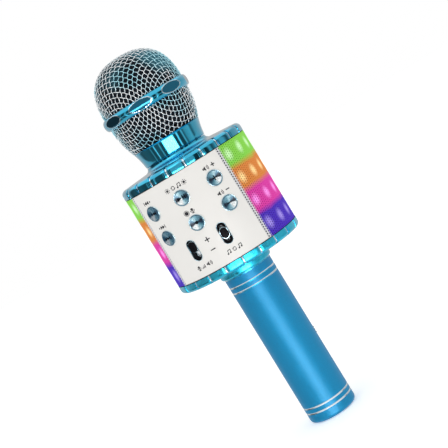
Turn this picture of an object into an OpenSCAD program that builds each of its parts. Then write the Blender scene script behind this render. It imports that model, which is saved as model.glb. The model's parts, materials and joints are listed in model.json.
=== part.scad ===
// Handheld wireless singing microphone with a drum-shaped speaker body.
// It stands on the end of its handle: +Z runs up the handle to the grille head,
// the control panel faces -Y, and the origin is the centre of the handle's end face.
// All sizes are in millimetres. An azimuth of 0 faces -Y and grows towards +X.

/* [Overall] */
// Height from the handle's end face to the top of the grille head
total_h = 245; // [240:1:250]
// Radius of the handle tube
handle_r = 15.3; // [15:0.1:16]
// Radius of the speaker body over the control panel
body_r = 40.2; // [40:0.1:41]

/* [Handle] */
// Height of the screw-off end cap
end_cap_h = 6.9; // [6:0.1:8]
// Wall of the handle tube
tube_wall = 2; // [1.6:0.1:2]
// Height of the top edge of the handle tube
tube_top = 100.6; // [100:0.1:101]
// Rounding of the end cap's lower edge
foot_round = 2.5; // [1:0.1:3]
// Depth of the bright cut lines round the tube
cut_line = 0.25; // [0.1:0.05:0.4]
// Azimuth of the power switch
switch_az = 128; // [90:1:135]
// Middle of the power switch knob when it is off
switch_z = 46.9; // [45:0.1:50]
// Travel of the power switch knob
switch_travel = 3; // [2:0.5:3]

/* [Body] */
// Underside of the body
body_z = 106.9; // [106:0.1:108]
// Lower edge of the control panel
panel_z = 112.4; // [112:0.1:113]
// Upper edge of the control panel
panel_top = 170.8; // [170:0.1:171]
// Upper edge of the top cap's wall
cap_top = 176.8; // [176:0.1:177]
// Half width of the control panel, in degrees
panel_half = 44; // [43:0.5:45]
// Half width of the rear panel, in degrees
rear_half = 35; // [30:1:38]
// Number of grooves round each cap
groove_count = 22; // [16:1:28]

/* [Controls] */
// Azimuth between neighbouring columns of buttons
button_step = 31.2; // [30:0.1:32]
// Height of the upper row of buttons
button_high = 157.4; // [157:0.1:158]
// Height of the lower row of buttons
button_low = 141.3; // [141:0.1:142]
// Radius of a button cap
button_r = 4.17; // [4:0.01:4.2]
// Travel of a button
button_travel = 0.8; // [0.5:0.1:0.8]
// Azimuth of each slider slot
slot_az = 14.7; // [14:0.1:15]
// Middle of the slider slots
slot_z = 128.3; // [128:0.1:129]
// Height of the left slider knob above the middle of its slot
left_knob_up = 2; // [-2.5:0.1:2.5]
// Height of the right slider knob above the middle of its slot
right_knob_up = 0.1; // [-2.5:0.1:2.5]

/* [Head] */
// Lower edge of the neck collar
neck_z = 180.7; // [180:0.1:181]
// Lower edge of the lower grille
grille_z = 191.2; // [191:0.1:192]
// Lower edge of the ring between the grilles
ring_z = 210.4; // [210:0.1:211]
// Upper edge of the ring between the grilles
ring_top = 216.7; // [216:0.1:217]
// Radius of the upper grille at the ring
dome_r = 26.4; // [26:0.1:27]
// Fullness of the dome: 2 is an ellipsoid and more is squarer
dome_power = 2.5; // [2.2:0.1:2.8]
// Largest radius of the ring between the grilles
ring_r = 28.5; // [28.2:0.1:29]
// Number of flats round the ring
flat_count = 8; // [6:1:10]

/* [Hidden] */
$fn = 64;

// A little extra for cuts that run past a face
past = 1;

// Radii through the wall of the body, from the outside in
panel_wall = 1.8;
panel_in = body_r - panel_wall;
mesh_out = body_r - 0.1;
mesh_in = mesh_out - 0.5;
film_out = 38.9;
film_in = 38;
chassis_out = 35.4;
chassis_in = 33.4;
strip_out = chassis_out + 0.4;
seam_deg = 0.25;
cap_wall = 2;
top_inside = cap_top - cap_wall;
bottom_inside = body_z + cap_wall;

// Grooves round the caps
groove_deg = 1.9;
groove_depth = 0.7;
top_round = 3;
bottom_round = 2.3;

// Neck and socket
neck_top_r = 21.9;
neck_low_r = 19.7;
socket_r = 17.4;
socket_bore = 14.5;
socket_flange_r = 20.5;
deck_r = 22.5;
deck_rise = 1.2;

// Microphone capsule and the rubber cup that holds it
capsule_r = 7.9;
capsule_z = 201;
capsule_h = 16;
capsule_tip_r = 6.5;
capsule_tip_h = 2;
mount_z = 196;
mount_t = 3;
mount_bore = 3;
cup_r = 10.4;
cup_h = 11;

// Grille walls and foam
grille_wall = 0.9;
foam_gap = 1.2;
foam_wall = 4.5;
lower_bulge_r = 46.5;
lower_top_r = 26.1;
arc_steps = 24;
ring_flat_r = 27.45;
ring_edge_r = 27.2;
ring_bore = 25.3;
first_flat_az = 8.4;

// Keys and boards: board_r is the face that carries the switches
board_r = 32;
board_t = 1.2;
bezel_r = 4.75;
bezel_bore = button_r + 0.08;
bezel_low = 38;
bezel_high = body_r + 0.35;
button_face = 40.9;
button_low_face = 36.4;
tact_h = 2.5;
boss_r = 2;
pilot_r = 0.8;
boss_mid_z = (button_high + button_low) / 2;
boss_high_z = 166;
boss_low_z = 117;
key_board_low = 135;
key_board_high = 168.5;
main_y = 24;
main_x = 12;
main_low = 114;
main_high = 158;
main_boss_z = [118, 154];
rear_cut_y = 30;
strip_w = 17;
slider_board_w = 28;
board_step_z = 133;
key_board_w = 11;
fader_w = 7;
fader_len = 20;
fader_slit_w = 2.8;
fader_slit_len = 10;
tact_w = 6;
tact_pin_r = 1.75;
screw_len = 5;

// Slider slots
slot_w = 6;
slot_len = 13.4;
well_wall = 0.4;
well_floor = 37.4;
knob_w = 4.8;
knob_len = 6.8;
knob_low = 38.2;
knob_face = body_r + 0.5;
lever_low = 34.9;
fader_y = board_r + 3.2;

// Lights
led_rows = [164.5, 149.5, 134.8, 119.5];
led_step = 16;
led_first = 51;
led_columns = 6;
led_size = 5;
led_t = 1.6;
spine_az = 138;

// Rear sockets: width, height and lowest point of the two flat ones
port_w = 9;
port_h = 3.5;
port_z = 147.5;
card_w = 14;
card_h = 2.6;
card_z = 136.7;
jack_z = 125;
jack_r = 3.8;
jack_bore = 1.8;
socket_gap = 0.2;

// Speakers
speaker_x = 26.7;
speaker_z = (panel_z + panel_top) / 2;
speaker_r = 20;
magnet_r = 11;
magnet_h = 7.5;
magnet_back = -20;

// Frame and cone of a speaker, as radius and height from its rim's face
frame_outline = [
    [17, 0], [speaker_r, 0], [speaker_r, -1.6], [18.6, -1.6],
    [11.4, -12.5], [3.5, -12.5], [3.5, -11], [10.4, -11], [17, -1.2]
];
cone_outline = [
    [0, -5], [2.4, -5.6], [4.6, -7.6], [5, -9.2], [14.8, -2.6], [16.4, -1.1], [17, -1.1],
    [17, -0.4], [16.1, -0.4], [14.6, -1.8], [5.4, -8], [4.8, -6.8], [2.6, -4.8], [0, -4.2]
];

// Handle insides
tube_in = handle_r - tube_wall;
collar_r = 16.8;
collar_bore = 11;
collar_round = 1;
stub_r = 15;
nut_r = 19;
nut_h = 3;
plug_high = 12;
end_floor = 3;
cut_lines = [end_cap_h, 10.4, 91.3, 94.9, tube_top];
battery_r = 9.15;
battery_low = 14;
battery_high = 79;
switch_w = 3.8;
switch_len = 5.6;
spring_r = 4;
spring_wire = 0.45;
spring_turns = 5;

// The buttons: azimuth, height
button_places = [
    [-button_step, button_high], [-button_step, button_low],
    [0, button_high], [0, button_low],
    [button_step, button_high], [button_step, button_low]
];

// ---------------------------------------------------------------- helpers

// Puts children so that their +Z points outwards at an azimuth and a height
module radial(az, z) {
    rotate([0, 0, az])
        translate([0, 0, z])
            rotate([90, 0, 0])
                children();
}

// A round bar along a radius, between two distances from the axis
module radial_bar(az, z, r, near, far) {
    radial(az, z)
        translate([0, 0, near])
            cylinder(r = r, h = far - near);
}

// Part of a round wall between two azimuths
module arc_wall(out_r, in_r, low, high, az0, az1) {
    rotate([0, 0, az0 - 90])
        rotate_extrude(angle = az1 - az0)
            translate([in_r, low])
                square([out_r - in_r, high - low]);
}

// A plain tube
module tube(out_r, in_r, low, high) {
    rotate_extrude()
        translate([in_r, low])
            square([out_r - in_r, high - low]);
}

// A flat slot shape with round ends, upright
module slot_shape(w, len) {
    square([w, len - w], center = true);
    for (side = [-1, 1])
        translate([0, side * (len - w) / 2])
            circle(d = w);
}

// A round wire through a list of points
module wire(points, r) {
    for (i = [0 : len(points) - 2]) {
        step = points[i + 1] - points[i];
        length = norm(step);
        translate(points[i])
            rotate([0, acos(step[2] / length), atan2(step[1], step[0])])
                cylinder(r = r, h = length);
        if (i > 0)
            translate(points[i])
                sphere(r = r);
    }
}

// Outline of a cap's rim, from the axis out, with its upper edge rounded
module rim_shape(r, h, round_r, inset) {
    rr = round_r - inset;
    square([r - inset, h - round_r]);
    square([r - round_r, h - inset]);
    translate([r - round_r, h - round_r])
        circle(r = rr);
}

// The cutters for the grooves round a cap's rim
module rim_grooves(r, h, round_r) {
    for (i = [0 : groove_count - 1])
        rotate([0, 0, i * 360 / groove_count - groove_deg / 2 - 90])
            rotate_extrude(angle = groove_deg)
                difference() {
                    translate([r - round_r - past, -past])
                        square([round_r + 3 * past, h + 2 * past]);
                    translate([0, -2 * past])
                        rim_shape(r, h + 2 * past, round_r, groove_depth);
                }
}

// Radius of the dome at a step round its quarter outline, less an inset
function dome_point(i, inset) =
    let (
        t = 90 * i / arc_steps,
        out_r = dome_r - inset,
        rise = total_h - ring_top - inset
    )
    [
        out_r * pow(cos(t), 2 / dome_power),
        ring_top + rise * pow(sin(t), 2 / dome_power)
    ];

// Radius of the lower grille at a height, less an inset
function bowl_radius(z, inset) =
    lower_top_r - inset
    - lower_bulge_r + sqrt(pow(lower_bulge_r, 2) - pow(ring_z - z, 2));

function dome_outline(inset) = [for (i = [0 : arc_steps]) dome_point(i, inset)];

function bowl_outline(low, inset) =
    [for (i = [0 : arc_steps])
        let (z = low + (ring_z - low) * i / arc_steps)
        [bowl_radius(z, inset), z]];

function reversed(list) = [for (i = [len(list) - 1 : -1 : 0]) list[i]];

// ---------------------------------------------------------------- head

module upper_grille() {
    color("silver")
        rotate_extrude()
            polygon(concat(dome_outline(0), reversed(dome_outline(grille_wall))));
}

module lower_grille() {
    color("silver")
        rotate_extrude()
            polygon(concat(
                bowl_outline(grille_z, 0),
                reversed(bowl_outline(grille_z, grille_wall))
            ));
}

// A barrel-shaped band with flats that come out as pointed ovals
module grille_ring() {
    half = (ring_top - ring_z) / 2;
    rise = ring_r - ring_edge_r;
    bend = (half * half + rise * rise) / (2 * rise);
    color("deepskyblue")
        difference() {
            rotate_extrude()
                intersection() {
                    translate([ring_bore, ring_z])
                        square([ring_r, 2 * half]);
                    translate([ring_r - bend, ring_z + half])
                        circle(r = bend);
                }
            for (i = [0 : flat_count - 1])
                rotate([0, 0, first_flat_az + i * 360 / flat_count])
                    translate([-ring_r, -ring_flat_r - 10, ring_z - past])
                        cube([2 * ring_r, 10, 2 * half + 2 * past]);
        }
}

module foam_liner() {
    low = grille_z + 3;
    outer = concat(bowl_outline(low, foam_gap), dome_outline(foam_gap));
    inner = concat(
        bowl_outline(low, foam_gap + foam_wall),
        dome_outline(foam_gap + foam_wall)
    );
    color("dimgray")
        rotate_extrude()
            polygon(concat(outer, reversed(inner)));
}

module mic_capsule() {
    color("gainsboro")
        translate([0, 0, capsule_z]) {
            cylinder(r = capsule_r, h = capsule_h);
            translate([0, 0, capsule_h])
                cylinder(r1 = capsule_r, r2 = capsule_tip_r, h = capsule_tip_h);
        }
}

module capsule_mount() {
    color("black")
        rotate_extrude()
            difference() {
                union() {
                    translate([mount_bore, mount_z])
                        square([socket_r - mount_bore, mount_t]);
                    translate([mount_bore, mount_z + mount_t])
                        square([cup_r - mount_bore, cup_h]);
                }
                translate([0, capsule_z])
                    square([capsule_r, cup_h]);
            }
}

module neck_collar() {
    height = grille_z - neck_z;
    flare = [for (i = [0 : 8])
        let (u = i / 8)
        [neck_low_r + (neck_top_r - neck_low_r) * (0.45 * u + 0.55 * u * u),
         neck_z + height * u]];
    color("deepskyblue")
        rotate_extrude()
            polygon(concat(flare, [[socket_r, grille_z], [socket_r, neck_z]]));
}

module head_socket() {
    color("dimgray") {
        tube(socket_r, socket_bore, top_inside - 3, mount_z);
        tube(socket_flange_r, socket_r, grille_z, grille_z + 2);
        tube(socket_flange_r, socket_r, top_inside - 3, top_inside);
    }
}

// ---------------------------------------------------------------- body shells

module top_cap() {
    rim_h = cap_top - panel_top;
    color("deepskyblue")
        difference() {
            union() {
                translate([0, 0, panel_top])
                    rotate_extrude()
                        rim_shape(body_r, rim_h, top_round, 0);
                rotate_extrude()
                    polygon([
                        [0, cap_top - 1], [body_r - top_round, cap_top - 1],
                        [body_r - top_round, cap_top], [deck_r, cap_top + deck_rise],
                        [deck_r - 1.8, cap_top + deck_rise + 0.5],
                        [neck_low_r + 0.2, cap_top + deck_rise + 1.5],
                        [neck_low_r, neck_z - 0.2], [0, neck_z - 0.2]
                    ]);
            }
            translate([0, 0, panel_top - past])
                cylinder(r = body_r - cap_wall, h = top_inside - panel_top + past);
            translate([0, 0, panel_top])
                cylinder(r = socket_r, h = 20);
            translate([0, 0, panel_top])
                rim_grooves(body_r, rim_h, top_round);
        }
}

module bottom_cap() {
    rim_h = panel_z - body_z;
    color("deepskyblue")
        difference() {
            translate([0, 0, panel_z])
                mirror([0, 0, 1])
                    difference() {
                        rotate_extrude()
                            rim_shape(body_r, rim_h, bottom_round, 0);
                        rim_grooves(body_r, rim_h, bottom_round);
                    }
            translate([0, 0, bottom_inside])
                cylinder(r = body_r - cap_wall, h = rim_h);
            translate([0, 0, body_z - past])
                cylinder(r = stub_r, h = 10);
        }
}

// The curved front cover, with bosses for the key boards behind it
module front_panel() {
    color("whitesmoke")
        difference() {
            union() {
                arc_wall(body_r, panel_in, panel_z, panel_top, -panel_half, panel_half);
                front_bosses(boss_r, panel_in + 0.4);
            }
            for (place = button_places)
                radial_bar(place[0], place[1], bezel_r, panel_in - 2, body_r + past);
            for (side = [-1, 1])
                radial(side * slot_az, slot_z)
                    translate([0, 0, panel_in - 2])
                        linear_extrude(height = 5)
                            slot_shape(slot_w, slot_len);
            front_bosses(pilot_r, board_r + 5);
        }
}

// Bosses, or the pilot holes in them, out to a given distance
module front_bosses(r, far) {
    for (side = [-1, 0, 1], z = [boss_mid_z, boss_high_z])
        radial_bar(side * button_step, z, r, board_r, far);
    radial_bar(0, boss_low_z, r, board_r, far);
}

module rear_panel() {
    color("whitesmoke")
        difference() {
            union() {
                arc_wall(body_r, panel_in, panel_z, panel_top, 180 - rear_half, 180 + rear_half);
                rear_bosses(boss_r, panel_in - 2.2);
            }
            rear_bosses(pilot_r, main_y + 6);
            socket_opening(port_w, port_h, port_z);
            socket_opening(card_w, card_h, card_z);
            translate([0, rear_cut_y, jack_z])
                rotate([-90, 0, 0])
                    cylinder(r = jack_r + socket_gap, h = body_r);
        }
}

// The cutter for the opening round a flat socket
module socket_opening(w, h, z) {
    translate([-w / 2 - socket_gap, rear_cut_y, z - socket_gap])
        cube([w + 2 * socket_gap, body_r, h + 2 * socket_gap]);
}

module rear_bosses(r, far) {
    for (side = [-1, 1], z = main_boss_z)
        translate([side * main_x, main_y + board_t, z])
            rotate([-90, 0, 0])
                cylinder(r = r, h = far - main_y - board_t);
}

// The perforated skin between the two panels, on one side
module side_mesh(side) {
    color("lightgray")
        side_arc(side, mesh_out, mesh_in, panel_z, panel_top, 0);
}

// A wall between the panels on one side, less a margin in degrees at both ends
module side_arc(side, out_r, in_r, low, high, margin) {
    from = panel_half + seam_deg + margin;
    to = 180 - rear_half - seam_deg - margin;
    az0 = side > 0 ? from : -to;
    az1 = side > 0 ? to : -from;
    arc_wall(out_r, in_r, low, high, az0, az1);
}

module left_mesh() { side_mesh(-1); }
module right_mesh() { side_mesh(1); }

// The inner frame that carries the speakers and the lights
module chassis() {
    color("dimgray")
        difference() {
            arc_wall(chassis_out, chassis_in, bottom_inside, top_inside, 50, 310);
            translate([-chassis_out - past, 0, speaker_z])
                rotate([0, 90, 0])
                    cylinder(r = speaker_r - 1, h = 2 * chassis_out + 2 * past);
            translate([-16, 20, main_low - past])
                cube([32, 30, main_high - main_low + 2 * past]);
        }
}

// ---------------------------------------------------------------- lights

module light_film(side) {
    color("white", 0.8)
        side_arc(side, film_out, film_in, panel_z, panel_top, 0);
}

// Four strips joined by an upright near the rear, with room for sound between them
module led_strips(side) {
    color("white")
        difference() {
            side_arc(side, strip_out, chassis_out, led_rows[3] - 3, led_rows[0] + 3, 2);
            for (i = [0 : 2])
                arc_wall(
                    strip_out + past, chassis_out - past,
                    led_rows[i + 1] + 3, led_rows[i] - 3,
                    min(side * 40, side * spine_az), max(side * 40, side * spine_az)
                );
        }
}

module side_leds(side) {
    color("ivory")
        for (z = led_rows, i = [0 : led_columns - 1])
            radial(side * (led_first + i * led_step), z)
                translate([-led_size / 2, -led_size / 2, strip_out])
                    cube([led_size, led_size, led_t]);
}

module left_light_film() { light_film(-1); }
module right_light_film() { light_film(1); }
module left_led_strips() { led_strips(-1); }
module right_led_strips() { led_strips(1); }
module left_leds() { side_leds(-1); }
module right_leds() { side_leds(1); }

// ---------------------------------------------------------------- speakers

// Puts a speaker's shape, drawn along +Z with its rim's face at 0, on a side
module at_speaker(side) {
    translate([side * speaker_x, 0, speaker_z])
        rotate([0, side * 90, 0])
            children();
}

module speaker_frame(side) {
    color("dimgray")
        at_speaker(side)
            rotate_extrude()
                polygon(frame_outline);
}

module speaker_cone(side) {
    color("black")
        at_speaker(side)
            rotate_extrude()
                polygon(cone_outline);
}

module speaker_magnet(side) {
    color("gray")
        at_speaker(side)
            translate([0, 0, magnet_back])
                cylinder(r = magnet_r, h = magnet_h);
}

module left_speaker_frame() { speaker_frame(-1); }
module right_speaker_frame() { speaker_frame(1); }
module left_speaker_cone() { speaker_cone(-1); }
module right_speaker_cone() { speaker_cone(1); }
module left_speaker_magnet() { speaker_magnet(-1); }
module right_speaker_magnet() { speaker_magnet(1); }

// ---------------------------------------------------------------- boards

module control_board() {
    color("darkgreen")
        difference() {
            translate([0, -board_r, 0]) {
                translate([-strip_w / 2, 0, board_step_z])
                    cube([strip_w, board_t, key_board_high - board_step_z]);
                translate([-slider_board_w / 2, 0, main_low])
                    cube([slider_board_w, board_t, board_step_z - main_low]);
            }
            front_holes(0);
        }
}

// Clearance holes for the screws through the boards
module front_holes(az) {
    for (z = [boss_mid_z, boss_high_z, boss_low_z])
        radial_bar(az, z, pilot_r, board_r - 2 * board_t, board_r + past);
}

module key_board(side) {
    color("darkgreen")
        difference() {
            radial(side * button_step, 0)
                translate([-key_board_w / 2, key_board_low, board_r - board_t])
                    cube([key_board_w, key_board_high - key_board_low, board_t]);
            front_holes(side * button_step);
        }
}

module left_key_board() { key_board(-1); }
module right_key_board() { key_board(1); }

module tact_switches() {
    color("silver")
        for (place = button_places)
            radial(place[0], place[1])
                translate([0, 0, board_r]) {
                    translate([-tact_w / 2, -tact_w / 2, 0])
                        cube([tact_w, tact_w, tact_h - 0.4]);
                    cylinder(r = tact_pin_r, h = tact_h);
                }
}

// A slide potentiometer, with the groove that its lever runs in
module fader(side) {
    lever_x = side * (fader_y - past) * tan(slot_az);
    color("silver")
        difference() {
            translate([lever_x - fader_w / 2, -fader_y, slot_z - fader_len / 2])
                cube([fader_w, fader_y - board_r, fader_len]);
            translate([lever_x - fader_slit_w / 2, -fader_y - past, slot_z - fader_slit_len / 2])
                cube([fader_slit_w, 2 + past, fader_slit_len]);
        }
}

module left_fader() { fader(-1); }
module right_fader() { fader(1); }

module main_board() {
    color("darkgreen")
        difference() {
            translate([-15, main_y, main_low])
                cube([30, board_t, main_high - main_low]);
            for (side = [-1, 1], z = main_boss_z)
                translate([side * main_x, main_y - past, z])
                    rotate([-90, 0, 0])
                        cylinder(r = pilot_r, h = board_t + 2 * past);
        }
}

// One screw along +Z: its head's underside is at 0
module small_screw(len) {
    translate([0, 0, -1])
        cylinder(r = 1.7, h = 1);
    cylinder(r = pilot_r, h = len);
}

module board_screws() {
    color("silver") {
        for (side = [-1, 0, 1], z = [boss_mid_z, boss_high_z])
            radial(side * button_step, z)
                translate([0, 0, board_r - board_t])
                    small_screw(screw_len);
        radial(0, boss_low_z)
            translate([0, 0, board_r - board_t])
                small_screw(screw_len);
        for (side = [-1, 1], z = main_boss_z)
            translate([side * main_x, main_y, z])
                rotate([-90, 0, 0])
                    small_screw(screw_len);
    }
}

// ---------------------------------------------------------------- controls

// A button cap: a dished face, a collar behind the bezel, and a plunger
module button_cap(place) {
    dish_r = 13;
    dish_depth = 0.6;
    tip = board_r + tact_h + button_travel + 0.2;
    color("steelblue")
        radial(place[0], place[1])
            difference() {
                union() {
                    translate([0, 0, button_low_face])
                        cylinder(r = button_r, h = button_face - button_low_face);
                    translate([0, 0, button_low_face])
                        cylinder(r = 5, h = 1.1);
                    translate([0, 0, tip])
                        cylinder(r = 1.5, h = button_low_face + past - tip);
                }
                translate([0, 0, button_face - dish_depth + dish_r])
                    sphere(r = dish_r);
            }
}

module prev_button() { button_cap(button_places[0]); }
module next_button() { button_cap(button_places[1]); }
module play_button() { button_cap(button_places[2]); }
module record_button() { button_cap(button_places[3]); }
module volume_up_button() { button_cap(button_places[4]); }
module volume_down_button() { button_cap(button_places[5]); }

module button_bezels() {
    color("lightskyblue")
        for (place = button_places)
            radial(place[0], place[1])
                tube(bezel_r, bezel_bore, bezel_low, bezel_high);
}

// The bright well round a slider, with a slit in its floor for the lever
module slot_well(side) {
    color("lightskyblue")
        radial(side * slot_az, slot_z)
            difference() {
                translate([0, 0, well_floor])
                    linear_extrude(height = body_r + 0.25 - well_floor)
                        slot_shape(slot_w, slot_len);
                translate([0, 0, well_floor + 0.5])
                    linear_extrude(height = 10)
                        slot_shape(slot_w - 2 * well_wall, slot_len - 2 * well_wall);
                translate([-1.1, -5, well_floor - past])
                    cube([2.2, 10, 3]);
            }
}

module left_slot_well() { slot_well(-1); }
module right_slot_well() { slot_well(1); }

// A slider knob: an oval cap with a domed face on a flat lever
module slider_knob(side, up) {
    color("black")
        radial(side * slot_az, slot_z + up) {
            translate([0, 0, knob_low])
                linear_extrude(height = knob_face - 0.4 - knob_low)
                    slot_shape(knob_w, knob_len);
            translate([0, 0, knob_face - 0.4])
                linear_extrude(height = 0.4)
                    slot_shape(knob_w - 0.7, knob_len - 0.7);
            translate([-0.6, -1.2, lever_low])
                cube([1.2, 2.4, knob_low - lever_low]);
        }
}

module mic_volume_slider() { slider_knob(-1, left_knob_up); }
module remix_slider() { slider_knob(1, right_knob_up); }

// ---------------------------------------------------------------- rear sockets

module charge_port() {
    color("silver")
        difference() {
            translate([-port_w / 2, main_y + board_t, port_z])
                cube([port_w, body_r - 0.6 - main_y - board_t, port_h]);
            translate([0.5 - port_w / 2, body_r - 6, port_z + 0.5])
                cube([port_w - 1, 10, port_h - 1]);
        }
}

module card_slot() {
    mouth_w = 11.2;
    mouth_h = 1.3;
    color("silver")
        difference() {
            translate([-card_w / 2, main_y + board_t, card_z])
                cube([card_w, body_r - 1.2 - main_y - board_t, card_h]);
            translate([-mouth_w / 2, body_r - 14, card_z + 0.6])
                cube([mouth_w, 20, mouth_h]);
        }
}

module audio_jack() {
    color("black")
        translate([0, main_y + board_t, jack_z])
            rotate([-90, 0, 0])
                difference() {
                    cylinder(r = jack_r, h = body_r - main_y - board_t);
                    translate([0, 0, 1.5])
                        cylinder(r = jack_bore, h = 20);
                }
}

// ---------------------------------------------------------------- handle

module handle_collar() {
    edge_z = tube_top + 0.1 + collar_round;
    color("deepskyblue") {
        difference() {
            union() {
                tube(collar_r - collar_round, collar_bore, tube_top + 0.1, body_z);
                translate([0, 0, edge_z])
                    cylinder(r = collar_r, h = body_z - edge_z);
                rotate_extrude()
                    translate([collar_r - collar_round, edge_z])
                        circle(r = collar_round);
            }
            translate([0, 0, tube_top - past])
                cylinder(r = collar_bore, h = 20);
        }
        tube(tube_in, collar_bore, tube_top - 9, tube_top + 0.1);
        tube(stub_r, collar_bore, body_z, bottom_inside + 4);
    }
}

module collar_nut() {
    color("silver")
        difference() {
            translate([0, 0, bottom_inside])
                cylinder(r = nut_r, h = nut_h, $fn = 6);
            translate([0, 0, bottom_inside - past])
                cylinder(r = stub_r, h = nut_h + 2 * past);
        }
}

// A V-shaped line cut round the tube
module cut_line_ring(z) {
    rotate_extrude()
        polygon([
            [handle_r - cut_line, z], [handle_r + cut_line, z - 2 * cut_line],
            [handle_r + cut_line, z + 2 * cut_line]
        ]);
}

module handle_tube() {
    opening = switch_len + switch_travel + 1;
    color("dodgerblue")
        difference() {
            tube(handle_r, tube_in, end_cap_h, tube_top);
            for (z = cut_lines)
                cut_line_ring(z);
            radial(switch_az, switch_z + switch_travel / 2)
                translate([-switch_w / 2 - 0.3, -opening / 2, 5])
                    cube([switch_w + 0.6, opening, 20]);
        }
}

module end_cap() {
    color("dodgerblue")
        difference() {
            union() {
                translate([0, 0, end_cap_h])
                    mirror([0, 0, 1])
                        rotate_extrude()
                            rim_shape(handle_r, end_cap_h, foot_round, 0);
                cylinder(r = tube_in, h = plug_high);
            }
            cut_line_ring(end_cap_h);
            translate([0, 0, end_floor])
                cylinder(r = tube_in - 2, h = 20);
        }
}

module battery_cell() {
    color("mediumpurple") {
        translate([0, 0, battery_low])
            cylinder(r = battery_r, h = battery_high - battery_low - 1);
        translate([0, 0, battery_high - 1])
            cylinder(r = 3, h = 1);
    }
}

module battery_cradle() {
    color("black") {
        arc_wall(tube_in - 0.2, battery_r + 0.05, 12.5, 84, switch_az + 50, switch_az + 310);
        translate([0, 0, battery_high])
            cylinder(r = tube_in - 0.7, h = 4);
    }
}

// A coiled contact spring between the end cap and the battery
module battery_spring() {
    low = end_floor + spring_wire;
    high = battery_low - spring_wire;
    rings = 12 * spring_turns;
    sides = 8;
    points = [for (i = [0 : rings], j = [0 : sides - 1])
        let (
            a = 360 * spring_turns * i / rings,
            b = 360 * j / sides,
            r = spring_r + spring_wire * cos(b)
        )
        [r * cos(a), r * sin(a), low + (high - low) * i / rings + spring_wire * sin(b)]];
    walls = [for (i = [0 : rings - 1], j = [0 : sides - 1])
        let (k = (j + 1) % sides)
        [i * sides + j, (i + 1) * sides + j, (i + 1) * sides + k, i * sides + k]];
    first = [for (j = [0 : sides - 1]) j];
    last = [for (j = [sides - 1 : -1 : 0]) rings * sides + j];
    color("silver")
        polyhedron(points, concat(walls, [first, last]));
}

module switch_body() {
    color("black")
        radial(switch_az, switch_z + switch_travel / 2)
            difference() {
                translate([-3.4, -6, 9.4])
                    cube([6.8, 12, 2.8]);
                translate([-1, -3.6, 11])
                    cube([2, 7.2, 3]);
            }
}

module switch_knob() {
    color("black")
        radial(switch_az, switch_z) {
            translate([-switch_w / 2, -switch_len / 2, 12.5])
                cube([switch_w, switch_len, handle_r + 0.6 - 12.5]);
            for (i = [-1 : 1])
                translate([-switch_w / 2, i * 1.6 - 0.35, handle_r + 0.6])
                    cube([switch_w, 0.7, 0.3]);
            translate([-0.6, -1, 11.4])
                cube([1.2, 2, 1.1]);
        }
}

// ---------------------------------------------------------------- wiring

module battery_leads() {
    color("red")
        for (side = [-1, 1])
            wire([
                [side * 3, 3, battery_high + 4], [side * 3, 3, 114], [side * 3, 23.6, 121]
            ], 0.8);
}

module mic_lead() {
    color("black")
        wire([[4, 23.1, 156], [4, 4, 172], [4, 4, 196]], 0.9);
}

upper_grille();
grille_ring();
lower_grille();
foam_liner();
mic_capsule();
capsule_mount();
neck_collar();
head_socket();
top_cap();
bottom_cap();
front_panel();
rear_panel();
left_mesh();
right_mesh();
chassis();
left_light_film();
right_light_film();
left_led_strips();
right_led_strips();
left_leds();
right_leds();
left_speaker_frame();
right_speaker_frame();
left_speaker_cone();
right_speaker_cone();
left_speaker_magnet();
right_speaker_magnet();
control_board();
left_key_board();
right_key_board();
tact_switches();
left_fader();
right_fader();
main_board();
prev_button();
next_button();
play_button();
record_button();
volume_up_button();
volume_down_button();
button_bezels();
left_slot_well();
right_slot_well();
mic_volume_slider();
remix_slider();
charge_port();
card_slot();
audio_jack();
handle_collar();
collar_nut();
handle_tube();
end_cap();
battery_cell();
battery_cradle();
battery_spring();
switch_body();
switch_knob();
battery_leads();
mic_lead();
board_screws();
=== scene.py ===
"""Looks of a handheld singing microphone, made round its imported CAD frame.

Metres, +Z up the handle, the control panel facing -Y. An azimuth is in degrees,
0 at the middle of the panel and growing towards +X.
"""

import json
import math

import bpy
from mathutils import Matrix, Vector


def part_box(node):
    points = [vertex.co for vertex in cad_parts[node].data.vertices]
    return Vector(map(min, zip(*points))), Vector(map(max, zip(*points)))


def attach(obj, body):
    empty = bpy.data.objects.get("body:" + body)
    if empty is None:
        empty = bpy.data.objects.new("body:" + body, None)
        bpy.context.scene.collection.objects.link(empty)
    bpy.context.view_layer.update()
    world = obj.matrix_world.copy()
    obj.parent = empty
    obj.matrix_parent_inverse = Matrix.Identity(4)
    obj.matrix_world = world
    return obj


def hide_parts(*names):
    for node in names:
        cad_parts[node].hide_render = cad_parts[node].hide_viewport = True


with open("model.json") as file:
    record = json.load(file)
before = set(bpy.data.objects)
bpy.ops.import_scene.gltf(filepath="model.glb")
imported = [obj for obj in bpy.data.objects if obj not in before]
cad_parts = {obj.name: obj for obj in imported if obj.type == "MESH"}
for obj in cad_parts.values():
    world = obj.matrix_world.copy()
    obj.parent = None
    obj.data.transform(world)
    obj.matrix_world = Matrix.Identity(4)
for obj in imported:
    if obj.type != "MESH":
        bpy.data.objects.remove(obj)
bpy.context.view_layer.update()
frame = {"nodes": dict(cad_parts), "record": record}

MM = 0.001

# ------------------------------------------------------------------ places, from the frame


def low(node):
    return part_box(node)[0]


def high(node):
    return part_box(node)[1]


def middle(node):
    return (low(node) + high(node)) / 2


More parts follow.
